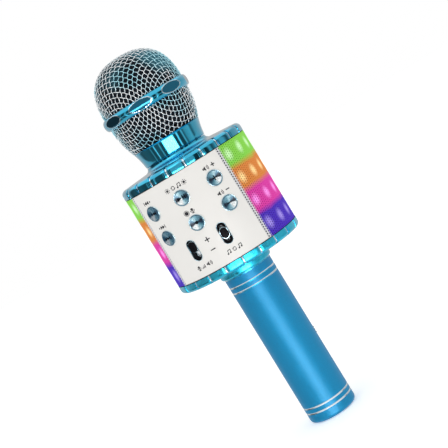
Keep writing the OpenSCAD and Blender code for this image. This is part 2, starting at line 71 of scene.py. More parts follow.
BODY_R = -low("front_panel").y
PANEL_LOW = low("front_panel").z
PANEL_TOP = high("front_panel").z
PANEL_WALL = 1.8 * MM
PANEL_HALF = math.degrees(math.asin(high("front_panel").x / BODY_R))
REAR_HALF = math.degrees(math.asin(high("rear_panel").x / BODY_R))
BODY_LOW = low("bottom_cap").z
DECK_TOP = high("top_cap").z
RIM_TOP = PANEL_TOP + 6 * MM
NECK_LOW = low("neck_collar").z
NECK_TOP = high("neck_collar").z
NECK_TOP_R = high("neck_collar").x
BASKET_LOW = low("lower_grille").z
BASKET_TOP = high("lower_grille").z
BASKET_TOP_R = high("lower_grille").x
RING_LOW = low("grille_ring").z
RING_TOP = high("grille_ring").z
DOME_LOW = low("upper_grille").z
DOME_TOP = high("upper_grille").z
DOME_R = high("upper_grille").x
HANDLE_R = high("handle_tube").x
TUBE_LOW = low("handle_tube").z
TUBE_TOP = high("handle_tube").z
COLLAR_R = high("handle_collar").x

NECK_BORE = 17.45 * MM
GROOVE_COUNT = 22
# Half-width in degrees of the painted highlight down each groove
GROOVE_SHINE = 0.75
SEAM = 0.45 * MM
DOME_POWER = 2.5
BASKET_BEND = 46.5 * MM
VIEW_AZIMUTH = 15.2

BUTTON_NODES = [
    "prev_button",
    "next_button",
    "play_button",
    "record_button",
    "volume_up_button",
    "volume_down_button",
]
SLIDER_NODES = ["mic_volume_slider", "remix_slider"]
WELL_NODES = ["left_slot_well", "right_slot_well"]


def azimuth_of(point):
    return math.degrees(math.atan2(point.x, -point.y))


# ------------------------------------------------------------------ mesh helpers


def in_scene(name, data):
    obj = bpy.data.objects.new(name, data)
    bpy.context.scene.collection.objects.link(obj)
    return obj


def new_object(name, verts, faces, sharp=35):
    """An object from points and faces, smooth except over edges sharper than an angle."""
    mesh = bpy.data.meshes.new(name)
    mesh.from_pydata([tuple(v) for v in verts], [], faces)
    mesh.validate()
    mesh.update()
    obj = in_scene(name, mesh)
    smooth(obj, sharp)
    return obj


def smooth(obj, sharp=35):
    mesh = obj.data
    mesh.polygons.foreach_set("use_smooth", [True] * len(mesh.polygons))
    mesh.set_sharp_from_angle(angle=math.radians(sharp))
    mesh.update()


def rounded(corners, steps=4):
    """A closed outline of (radius, height, rounding) corners, with each rounding as an arc."""
    outline = []
    count = len(corners)
    for i, (r, z, rounding) in enumerate(corners):
        here = Vector((r, z))
        if rounding <= 0:
            outline.append(here)
            continue
        before = Vector(corners[i - 1][:2]) - here
        after = Vector(corners[(i + 1) % count][:2]) - here
        half = before.angle(after) / 2
        reach = rounding / math.tan(half)
        start = here + before.normalized() * reach
        end = here + after.normalized() * reach
        centre = here + (before.normalized() + after.normalized()).normalized() * (
            rounding / math.sin(half)
        )
        a0 = math.atan2(start.y - centre.y, start.x - centre.x)
        a1 = math.atan2(end.y - centre.y, end.x - centre.x)
        turn = (a1 - a0 + math.pi) % (2 * math.pi) - math.pi
        for k in range(steps + 1):
            a = a0 + turn * k / steps
            outline.append(centre + rounding * Vector((math.cos(a), math.sin(a))))
    return outline


def loop_faces(rows, columns, wrap=False, flip=False):
    """Quads between neighbouring rows of points, where each row is a closed loop."""
    faces = []
    for i in range(rows if wrap else rows - 1):
        k = (i + 1) % rows
        for j in range(columns):
            m = (j + 1) % columns
            a, b, c, d = i * columns + j, k * columns + j, k * columns + m, i * columns + m
            faces.append([a, d, c, b] if flip else [a, b, c, d])
    return faces


def spin(name, outline, columns, sharp=35, shift=None):
    """A solid of revolution from an outline that runs anticlockwise, seen with +r to the right.

    columns is a number of even steps, or a list of (azimuth, weight). shift is a second
    outline with the same number of points, which a column takes by its weight.
    """
    if isinstance(columns, int):
        columns = [(360 * i / columns, 0) for i in range(columns)]
    shift = shift or outline
    verts, rows = [], []
    for p, q in zip(outline, shift):
        if p[0] < 1e-7:
            rows.append([len(verts)] * len(columns))
            verts.append((0, 0, p[1]))
            continue
        row = []
        for az, weight in columns:
            a = math.radians(az)
            r = p[0] + (q[0] - p[0]) * weight
            z = p[1] + (q[1] - p[1]) * weight
            row.append(len(verts))
            verts.append((r * math.sin(a), -r * math.cos(a), z))
        rows.append(row)
    faces = []
    n = len(columns)
    for j in range(len(rows)):
        a, b = rows[j], rows[(j + 1) % len(rows)]
        for i in range(n):
            k = (i + 1) % n
            face = [a[i], a[k], b[k], b[i]]
            face = [v for m, v in enumerate(face) if v != face[m - 1]]
            if len(face) > 2:
                faces.append(face)
    return new_object(name, verts, faces, sharp)


def wall_sector(name, outline, az0, az1, columns, sharp=35):
    """Part of a turn of an outline, closed with a flat end at each azimuth."""
    verts = []
    m = len(outline)
    for i in range(columns + 1):
        a = math.radians(az0 + (az1 - az0) * i / columns)
        for r, z in outline:
            verts.append((r * math.sin(a), -r * math.cos(a), z))
    faces = loop_faces(columns + 1, m)
    faces.append(list(range(m)))
    faces.append([columns * m + j for j in range(m - 1, -1, -1)])
    return new_object(name, verts, faces, sharp)


def extruded(name, outline, z0, z1, taper=0.0, sharp=35):
    """A flat outline raised between two heights, its upper edge drawn in by a taper."""
    n = len(outline)
    centre = sum((Vector(p) for p in outline), Vector((0, 0))) / n
    verts = [(x, y, z0) for x, y in outline]
    steps = 3 if taper else 0
    for k in range(steps + 1):
        a = math.pi / 2 * k / max(steps, 1)
        inset = taper * (1 - math.cos(a))
        rise = z1 - taper + taper * math.sin(a)
        for x, y in outline:
            away = Vector((x, y)) - centre
            away = away * (1 - inset / max(away.length, 1e-9))
            verts.append((centre.x + away.x, centre.y + away.y, rise))
    faces = loop_faces(steps + 2, n, flip=True)
    faces.append(list(range(n - 1, -1, -1)))
    faces.append([(steps + 1) * n + i for i in range(n)])
    return new_object(name, verts, faces, sharp)


def circle_outline(radius, steps, x=0.0, y=0.0):
    """Points round a circle, anticlockwise."""
    turns = [2 * math.pi * k / steps for k in range(steps)]
    return [(x + radius * math.cos(a), y + radius * math.sin(a)) for a in turns]


def bar(u, v, w, h):
    """A rectangle w wide and h tall round a point."""
    a, b = w / 2, h / 2
    return [(u - a, v - b), (u + a, v - b), (u + a, v + b), (u - a, v + b)]


def slot_outline(width, length, steps=12):
    """A stadium: straight sides with round ends, upright."""
    r = width / 2
    points = []
    for side in (1, -1):
        for k in range(steps + 1):
            a = math.pi * k / steps + (0 if side > 0 else math.pi)
            points.append((r * math.cos(a), side * (length / 2 - r) + r * math.sin(a)))
    return points


def outward(azimuth, z, distance=0.0):
    """Puts a shape drawn on X, Y with +Z towards the viewer onto the body's wall."""
    a = math.radians(azimuth)
    turn = Matrix.Rotation(a, 4, "Z") @ Matrix.Rotation(math.pi / 2, 4, "X")
    place = Vector((distance * math.sin(a), -distance * math.cos(a), z))
    return Matrix.Translation(place) @ turn


def placed(obj, matrix):
    obj.data.transform(matrix)
    obj.data.update()
    return obj


def joined(name, objects):
    """One object from several, keeping each face's material."""
    verts, faces, mats, face_mats = [], [], [], []
    for obj in objects:
        mesh = obj.data
        base = len(verts)
        verts.extend([tuple(v.co) for v in mesh.vertices])
        for m in mesh.materials:
            if m not in mats:
                mats.append(m)
        for p in mesh.polygons:
            faces.append([base + v for v in p.vertices])
            face_mats.append(mats.index(mesh.materials[p.material_index]) if mats else 0)
    result = new_object(name, verts, faces)
    for m in mats:
        result.data.materials.append(m)
    result.data.polygons.foreach_set("material_index", face_mats)
    for obj in objects:
        bpy.data.objects.remove(obj)
    return result


def baked(obj, name):
    """The evaluated mesh of an object and its modifiers, as a plain object in its place."""
    depsgraph = bpy.context.evaluated_depsgraph_get()
    mesh = bpy.data.meshes.new_from_object(obj.evaluated_get(depsgraph), depsgraph=depsgraph)
    mesh.name = name
    bpy.data.objects.remove(obj)
    return in_scene(name, mesh)


def cut(obj, cutters):
    """The object with each cutter taken out of it."""
    name = obj.name
    obj.name = name + "_uncut"
    for cutter in cutters:
        step = obj.modifiers.new("cut", "BOOLEAN")
        step.operation = "DIFFERENCE"
        step.solver = "EXACT"
        step.object = cutter
    bpy.context.view_layer.update()
    result = baked(obj, name)
    for cutter in cutters:
        bpy.data.objects.remove(cutter)
    smooth(result)
    return result


# ------------------------------------------------------------------ node helpers


class Nodes:
    """A short way to add nodes to a tree and join them."""

    def __init__(self, tree):
        self.tree = tree

    def add(self, kind, inputs=None, **settings):
        node = self.tree.nodes.new(kind)
        for key, value in settings.items():
            setattr(node, key, value)
        for key, value in (inputs or {}).items():
            self.put(node.inputs[key], value)
        return node

    def put(self, socket, value):
        if isinstance(value, bpy.types.NodeSocket):
            self.tree.links.new(value, socket)
        elif value is not None:
            socket.default_value = value

    def math(self, operation, a, b=None):
        node = self.add("ShaderNodeMath", operation=operation)
        for socket, value in zip(node.inputs, (a, b)):
            self.put(socket, value)
        return node.outputs[0]

    def plus(self, a, b):
        return self.math("ADD", a, b)

    def minus(self, a, b):
        return self.math("SUBTRACT", a, b)

    def times(self, a, b):
        return self.math("MULTIPLY", a, b)

    def divided(self, a, b):
        return self.math("DIVIDE", a, b)

    def ramp(self, value, *stops):
        """A colour ramp with (position, colour) stops."""
        node = self.add("ShaderNodeValToRGB", {"Fac": value})
        points = node.color_ramp.elements
        while len(points) < len(stops):
            points.new(0.5)
        for point, (position, color) in zip(points, stops):
            point.position = position
            point.color = (*color, 1) if len(color) == 3 else color
        return node.outputs["Color"]

    def between(self, share, a, b):
        """A number that goes from a to b as the share goes from 0 to 1."""
        node = self.add("ShaderNodeMix", {"Factor": share}, data_type="FLOAT")
        self.put(node.inputs[2], a)
        self.put(node.inputs[3], b)
        return node.outputs[0]

    def smoothstep(self, value, start, end):
        """A share that goes softly from 0 to 1 as the value goes from start to end."""
        node = self.add(
            "ShaderNodeMapRange",
            {"Value": value, "From Min": start, "From Max": end},
            interpolation_type="SMOOTHSTEP",
        )
        return node.outputs["Result"]


class Finish(Nodes):
    """A procedural material round one Principled shader, read in Object coordinates."""

    def __init__(self, name, color, metallic=0.0, roughness=0.5, **sockets):
        self.material = bpy.data.materials.new(name)
        self.material.use_nodes = True
        super().__init__(self.material.node_tree)
        self.shader = self.tree.nodes["Principled BSDF"]
        self.material.diffuse_color = (*color, 1)
        self.set("Base Color", (*color, 1))
        self.set("Metallic", metallic)
        self.set("Roughness", roughness)
        for key, value in sockets.items():
            self.set(key.replace("_", " ").title().replace("Ior", "IOR"), value)
        self.coords = self.add("ShaderNodeTexCoord").outputs["Object"]
        self.heights = []

    def set(self, socket, value):
        self.put(self.shader.inputs[socket], value)

    def noise(self, scale, detail=3.0, rough=0.5, stretch=None):
        """Noise with features of about 1/scale metres, drawn out along an axis if asked."""
        vector = self.coords
        if stretch:
            vector = self.add("ShaderNodeMapping", {"Vector": vector, "Scale": stretch}).outputs[0]
        node = self.add(
            "ShaderNodeTexNoise",
            {"Vector": vector, "Scale": scale, "Detail": detail, "Roughness": rough},
        )
        return node.outputs["Fac"]

    def blend(self, factor, a, b, mode="MIX"):
        node = self.add("ShaderNodeMix", data_type="RGBA", blend_type=mode)
        self.put(node.inputs["Factor"], factor)
        for socket, value in ((node.inputs[6], a), (node.inputs[7], b)):
            if isinstance(value, tuple) and len(value) == 3:
                value = (*value, 1)
            self.put(socket, value)
        return node.outputs[2]

    def vary(self, color, amount, scale, **options):
        """The colour, lighter and darker by a share of itself in soft patches."""
        dark = tuple(c * (1 - amount) for c in color)
        light = tuple(min(1, c * (1 + amount)) for c in color)
        out = self.ramp(self.noise(scale, **options), (0.3, dark), (0.7, light))
        self.set("Base Color", out)
        return out

    def rough_between(self, low_value, high_value, scale, **options):
        node = self.add(
            "ShaderNodeMapRange",
            {
                "Value": self.noise(scale, **options),
                "From Min": 0.3,
                "From Max": 0.7,
                "To Min": low_value,
                "To Max": high_value,
            },
        )
        self.set("Roughness", node.outputs["Result"])

    def bump(self, height, distance, strength=1.0):
        """Raises the surface by a height times a distance in metres, over what is there."""
        before = self.shader.inputs["Normal"]
        node = self.add(
            "ShaderNodeBump", {"Height": height, "Distance": distance, "Strength": strength}
        )
        if before.is_linked:
            self.tree.links.new(before.links[0].from_socket, node.inputs["Normal"])
        self.tree.links.new(node.outputs["Normal"], before)

    def xyz(self):
        return self.add("ShaderNodeSeparateXYZ", {"Vector": self.coords}).outputs

    def azimuth(self):
        """Azimuth round the body in degrees, 0 at the panel and growing towards +X."""
        x, y, _ = self.xyz()
        return self.math("DEGREES", self.math("ARCTAN2", x, self.times(y, -1.0)))


# ------------------------------------------------------------------ materials

CYAN = (0.018, 0.46, 0.70)
PANEL_WHITE = (0.80, 0.785, 0.755)
HANDLE_BLUE = (0.003, 0.27, 0.53)


def tinted_chrome(name, color, roughness=0.06, coat=0.8):
    f = Finish(name, color, 1.0, roughness, coat_weight=coat, coat_roughness=roughness / 2, coat_ior=1.6)
    f.vary(color, 0.10, 60, detail=2.0)
    f.rough_between(roughness / 2, roughness * 3 / 2, 400, detail=4.0)
    f.bump(f.noise(140, detail=2.0), 0.00006)
    return f.material


# Pale chrome, for bright rings and also as painted highlights on the edges of the ring's flats and in
# the caps' grooves
def bright_trim():
    f = Finish("bright_trim", (0.62, 0.80, 0.88), 1.0, 0.08)
    f.vary((0.62, 0.80, 0.88), 0.08, 300)
    f.rough_between(0.05, 0.14, 900)
    return f.material


def grille_wire():
    """Painted light and shade: bright where a wire passes over, dull and bluish where it dips under."""
    f = Finish("grille_wire", (0.60, 0.62, 0.64), 0.25, 0.4)
    raised = f.add("ShaderNodeAttribute", attribute_name="raised").outputs["Fac"]
    # Painted shade on wires that dip under, painted light on wires that pass over
    patchy = f.plus(raised, f.times(f.minus(f.noise(300), 0.5), 0.6))
    shade = f.ramp(patchy, (0.1, (0.20, 0.33, 0.40)), (0.4, (0.72, 0.82, 0.85)), (0.7, (1.0, 1.0, 1.0)))
    tint = f.smoothstep(f.noise(55, detail=1.0), 0.40, 0.66)
    f.set("Base Color", f.blend(tint, shade, (0.50, 0.88, 0.97), "MULTIPLY"))
    f.rough_between(0.32, 0.5, 1500)
    f.bump(f.noise(5000, detail=2.0), 0.00003)
    return f.material


def foam():
    f = Finish("foam", (0.008, 0.010, 0.014), 0.0, 0.95, specular_ior_level=0.1)
    cells = f.add("ShaderNodeTexVoronoi", {"Vector": f.coords, "Scale": 900.0}).outputs["Distance"]
    dark = f.ramp(cells, (0.0, (0.003, 0.004, 0.006)), (0.8, (0.012, 0.016, 0.024)))
    # Painted light: teal patches on the black foam, only high in the dome
    painted_light_patch = f.smoothstep(f.noise(38, detail=1.0), 0.38, 0.60)
    upper = f.smoothstep(f.xyz()[2], RING_TOP + 3 * MM, RING_TOP + 12 * MM)
    f.set("Base Color", f.blend(f.times(painted_light_patch, upper), dark, (0.05, 0.17, 0.22)))
    f.bump(cells, 0.0005)
    return f.material


def panel_plastic():
    f = Finish("panel", PANEL_WHITE, 0.0, 0.4, specular_ior_level=0.3)
    f.vary(PANEL_WHITE, 0.015, 35, detail=2.0)
    f.rough_between(0.36, 0.48, 260, detail=4.0)
    f.bump(f.noise(2600, detail=2.0), 0.00002)
    return f.material


def printed_ink():
    f = Finish("printed_ink", (0.035, 0.035, 0.04), 0.0, 0.6, specular_ior_level=0.1)
    f.vary((0.035, 0.035, 0.04), 0.15, 2500)
    return f.material


def button_symbol():
    f = Finish("button_symbol", (0.006, 0.008, 0.012), 0.0, 0.6, specular_ior_level=0.03)
    f.vary((0.006, 0.008, 0.012), 0.2, 2500)
    return f.material


# Painted reflections round a button's turned face: light and dark sectors as (share of a turn from its
# right side, colour)
PAINTED_SECTOR_SHADES = [
    (0.0, (0.006, 0.015, 0.03)),
    (0.04, (0.01, 0.03, 0.06)),
    (0.10, (0.12, 0.28, 0.37)),
    (0.22, (0.20, 0.42, 0.52)),
    (0.30, (0.42, 0.62, 0.68)),
    (0.38, (0.07, 0.17, 0.25)),
    (0.46, (0.004, 0.010, 0.022)),
    (0.53, (0.004, 0.010, 0.022)),
    (0.57, (0.80, 0.86, 0.88)),
    (0.68, (0.95, 0.98, 0.98)),
    (0.76, (0.40, 0.62, 0.70)),
    (0.86, (0.12, 0.32, 0.42)),
    (0.94, (0.02, 0.06, 0.11)),
    (1.0, (0.006, 0.015, 0.03)),
]


def button_chrome():
    """Steel-blue plate turned in fine rings, with its sectors of light and dark painted into the base
    colour as reflections, and a painted darker shade on the side buttons.
    """
    f = Finish("button_chrome", (0.30, 0.50, 0.60), 0.35, 0.28)
    turn = f.add("ShaderNodeUVMap", uv_map="turned").outputs[0]
    share, reach, _ = f.add("ShaderNodeSeparateXYZ", {"Vector": turn}).outputs
    # Painted reflections: light and dark sectors laid round the face by the turn's share
    painted_sectors = f.ramp(f.math("FRACT", share), *PAINTED_SECTOR_SHADES)
    rim = f.smoothstep(reach, 0.375, 0.395)
    # Painted shade: the prev and next buttons are blended towards a dark blue
    side_shade = f.add("ShaderNodeAttribute", attribute_name="side_shade").outputs["Fac"]
    face = f.blend(rim, painted_sectors, (0.10, 0.24, 0.33))
    f.set("Base Color", f.blend(side_shade, face, (0.012, 0.085, 0.16)))
    rings = f.math("SINE", f.times(reach, 160.0))
    f.rough_between(0.22, 0.36, 900)
    f.bump(rings, 0.00001)
    return f.material


def black_gloss():
    f = Finish("black_knob", (0.004, 0.004, 0.006), 0.0, 0.45, specular_ior_level=0.07)
    f.vary((0.004, 0.004, 0.006), 0.3, 600)
    f.rough_between(0.38, 0.52, 700)
    return f.material


def handle_blue():
    """Satin anodised tube with a fine sparkle."""
    f = Finish(
        "handle_blue",
        HANDLE_BLUE,
        0.4,
        0.52,
        specular_ior_level=0.2,
        specular_tint=(0.12, 0.60, 0.90, 1.0),
        coat_weight=0.6,
        coat_roughness=0.36,
    )
    f.vary(HANDLE_BLUE, 0.10, 1800, detail=4.0, rough=0.7)
    f.rough_between(0.48, 0.58, 2400, detail=4.0)
    f.bump(f.noise(3200, detail=3.0, rough=0.7), 0.00003)
    return f.material


def cut_metal():
    f = Finish("cut_metal", (0.80, 0.90, 0.95), 1.0, 0.16)
    f.vary((0.80, 0.90, 0.95), 0.06, 900)
    return f.material


# Painted glow colours, green, orange, magenta and violet, each between the lights and over a light
LED_BANDS = [
    ((0.21, 0.58, 0.06), (0.56, 0.90, 0.44)),
    ((0.62, 0.20, 0.035), (1.0, 0.68, 0.29)),
    ((0.62, 0.035, 0.32), (0.95, 0.28, 0.80)),
    ((0.052, 0.017, 0.42), (0.33, 0.25, 0.76)),
]


def led_pattern(f):
    """The painted light through the sides: coloured bands with a soft spot over each light.

    Returns its colour, and the share of it that shows, which fades out beside the panels.
    """
    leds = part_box("right_leds")
    led = 5 * MM
    rows = len(LED_BANDS)
    blur = 0.03
    squash = 0.72
    top = leds[1].z - led / 2
    bottom = leds[0].z + led / 2
    pitch = (top - bottom) / (rows - 1)
    first, step = 53.2, 15.8  # azimuth of the first column, and from one to the next
    z = f.xyz()[2]
    wobble = f.times(f.minus(f.noise(90, detail=1.0), 0.5), 0.003)
    place = f.divided(f.minus(top, f.plus(z, wobble)), pitch)
    band = f.divided(f.plus(place, 0.5), float(rows))
    around = f.math("ABSOLUTE", f.azimuth())
    column = f.divided(f.minus(around, first), step)
    nearest = f.minus(column, f.math("ROUND", column))
    across = f.times(nearest, step * math.pi / 180 * BODY_R)
    nearest_row = f.minus(place, f.math("ROUND", place))
    up = f.times(nearest_row, pitch * squash)
    distance = f.math("SQRT", f.plus(f.math("POWER", across, 2.0), f.math("POWER", up, 2.0)))
    spot = f.smoothstep(distance, 3.8 * MM, 0.2 * MM)
    colours = []
    for shade in (0, 1):
        stops = []
        for i, pair in enumerate(LED_BANDS):
            stops.append((i / rows + (blur if i else 0), pair[shade]))
            stops.append(((i + 1) / rows - (blur if i < rows - 1 else 0), pair[shade]))
        colours.append(f.ramp(band, *stops))
    dark_edge, full = 2.6, 5.0
    lit = f.smoothstep(around, PANEL_HALF + dark_edge, PANEL_HALF + full)
    return f.blend(spot, colours[0], colours[1]), lit


def mesh_skin():
    """Thin pierced skin with the light of the lamps behind painted on, as a near-black base and a
    coloured glow, but plain pale grey beside a panel.
    """
    f = Finish("speaker_mesh", (0.70, 0.70, 0.72), 0.0, 0.6, specular_ior_level=0.2)
    glow, lit = led_pattern(f)
    dusty = f.ramp(f.noise(1200, detail=3.0), (0.3, (0.60, 0.60, 0.62)), (0.7, (0.76, 0.76, 0.78)))
    # Painted light: near-black base under the painted glow, pale grey where it fades out
    f.set("Base Color", f.blend(lit, dusty, (0.015, 0.015, 0.018)))
    f.set("Emission Color", glow)
    f.set("Emission Strength", f.times(lit, 1.12))
    f.rough_between(0.5, 0.7, 800)
    f.bump(f.noise(2500, detail=2.0), 0.00004)
    return f.material


def light_film():
    f = Finish("light_film", (0.02, 0.02, 0.02), 0.0, 0.6, specular_ior_level=0.2)
    glow, lit = led_pattern(f)
    f.set("Base Color", f.ramp(f.noise(500), (0.3, (0.008, 0.008, 0.009)), (0.7, (0.02, 0.02, 0.021))))
    # Painted glow of the lights behind, as emission
    f.set("Emission Color", glow)
    f.set("Emission Strength", f.times(lit, 0.4))
    return f.material


def plain(name, color, metallic, roughness, scale=500, amount=0.12, grain=0.00003, **sockets):
    """A simple moulded, plated or painted finish with its own variation."""
    f = Finish(name, color, metallic, roughness, **sockets)
    f.vary(color, amount, scale, detail=4.0)
    f.rough_between(max(0.02, roughness - 0.08), min(1.0, roughness + 0.08), scale * 2)
    f.bump(f.noise(scale * 4, detail=2.0), grain)
    return f.material


MATERIALS = {
    "tinted_chrome": tinted_chrome("tinted_chrome", CYAN),
    "bright_trim": bright_trim(),
    "grille_wire": grille_wire(),
    "foam": foam(),
    "panel": panel_plastic(),
    "button_chrome": button_chrome(),
    "black_knob": black_gloss(),
    "handle_blue": handle_blue(),
    "speaker_mesh": mesh_skin(),
    "light_film": light_film(),
    "plated_metal": plain("plated_metal", (0.55, 0.56, 0.57), 1.0, 0.3),
    "black_plastic": plain("black_plastic", (0.008, 0.008, 0.010), 0.0, 0.6, specular_ior_level=0.08),
    "led_board": plain("led_board", (0.70, 0.71, 0.69), 0.0, 0.4),
    "led": plain("led", (0.85, 0.80, 0.55), 0.0, 0.15),
    "speaker_paper": plain("speaker_paper", (0.02, 0.02, 0.02), 0.0, 0.8, grain=0.0001),
    "circuit_board": plain("circuit_board", (0.01, 0.13, 0.04), 0.0, 0.3),
    "battery_wrap": plain("battery_wrap", (0.20, 0.12, 0.40), 0.0, 0.25),
    "wire_sleeve": plain("wire_sleeve", (0.10, 0.01, 0.01), 0.0, 0.5),
}
CUT_METAL = cut_metal()
# A darker copy of the chrome: painted shade on the ring's flats
SHADE_PAINTED_CHROME = tinted_chrome("dark_tinted_chrome", (0.010, 0.15, 0.25), coat=0.3)
SOFT_CHROME = tinted_chrome("soft_tinted_chrome", (0.022, 0.62, 0.88), 0.34, coat=0.5)
INK = printed_ink()
SYMBOL = button_symbol()
SLOTS = {row["node"]: row["material_slot"] for row in frame["record"]["subparts"]}


def finished(obj, *nodes, body="shell", material=None):
    """Gives a piece its finish and body, and lets it stand for its CAD nodes."""
    name = SLOTS[nodes[0]]
    if not obj.data.materials:
        obj.data.materials.append(material or MATERIALS[name])
    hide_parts(*nodes)
    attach(obj, body)
    return obj


# ------------------------------------------------------------------ geometry node trees


class GeometryTree(Nodes):
    """A geometry node group with named number inputs and a material at its end."""

    def __init__(self, name, numbers):
        tree = bpy.data.node_groups.new(name, "GeometryNodeTree")
        super().__init__(tree)
        face = tree.interface
        face.new_socket("Geometry", in_out="INPUT", socket_type="NodeSocketGeometry")
        for label, value in numbers.items():
            kind = "NodeSocketInt" if isinstance(value, int) else "NodeSocketFloat"
            face.new_socket(label, in_out="INPUT", socket_type=kind).default_value = value
        face.new_socket("Material", in_out="INPUT", socket_type="NodeSocketMaterial")
        face.new_socket("Geometry", in_out="OUTPUT", socket_type="NodeSocketGeometry")
        self.inputs = self.add("NodeGroupInput").outputs

    def xyz(self, vector):
        return self.add("ShaderNodeSeparateXYZ", {"Vector": vector}).outputs

    def vector(self, x, y, z):
        return self.add("ShaderNodeCombineXYZ", {"X": x, "Y": y, "Z": z}).outputs[0]

    def position(self):
        return self.add("GeometryNodeInputPosition").outputs[0]

    def compare(self, operation, a, b):
        node = self.add("FunctionNodeCompare", data_type="FLOAT", operation=operation)
        self.put(node.inputs[0], a)
        self.put(node.inputs[1], b)
        return node.outputs[0]

    def close(self, geometry):
        """Realises, sets the material and joins the output."""
        real = self.add("GeometryNodeRealizeInstances", {"Geometry": geometry})
        shade = self.add("GeometryNodeSetMaterial", {"Geometry": real.outputs[0]})
        self.put(shade.inputs["Material"], self.inputs["Material"])
        end = self.add("NodeGroupOutput")
        self.tree.links.new(shade.outputs[0], end.inputs[0])
        return self.tree


def grown(host, name, tree, material, **numbers):
    """Runs a tree on an object with its numbers set, and returns the plain mesh."""
    step = host.modifiers.new("grow", "NODES")
    step.node_group = tree
    for item in tree.interface.items_tree:
        if item.in_out != "INPUT":
            continue
        if item.name == "Material":
            step[item.identifier] = material
        elif item.name in numbers:
            step[item.identifier] = numbers[item.name]
    bpy.context.view_layer.update()
    return baked(host, name)


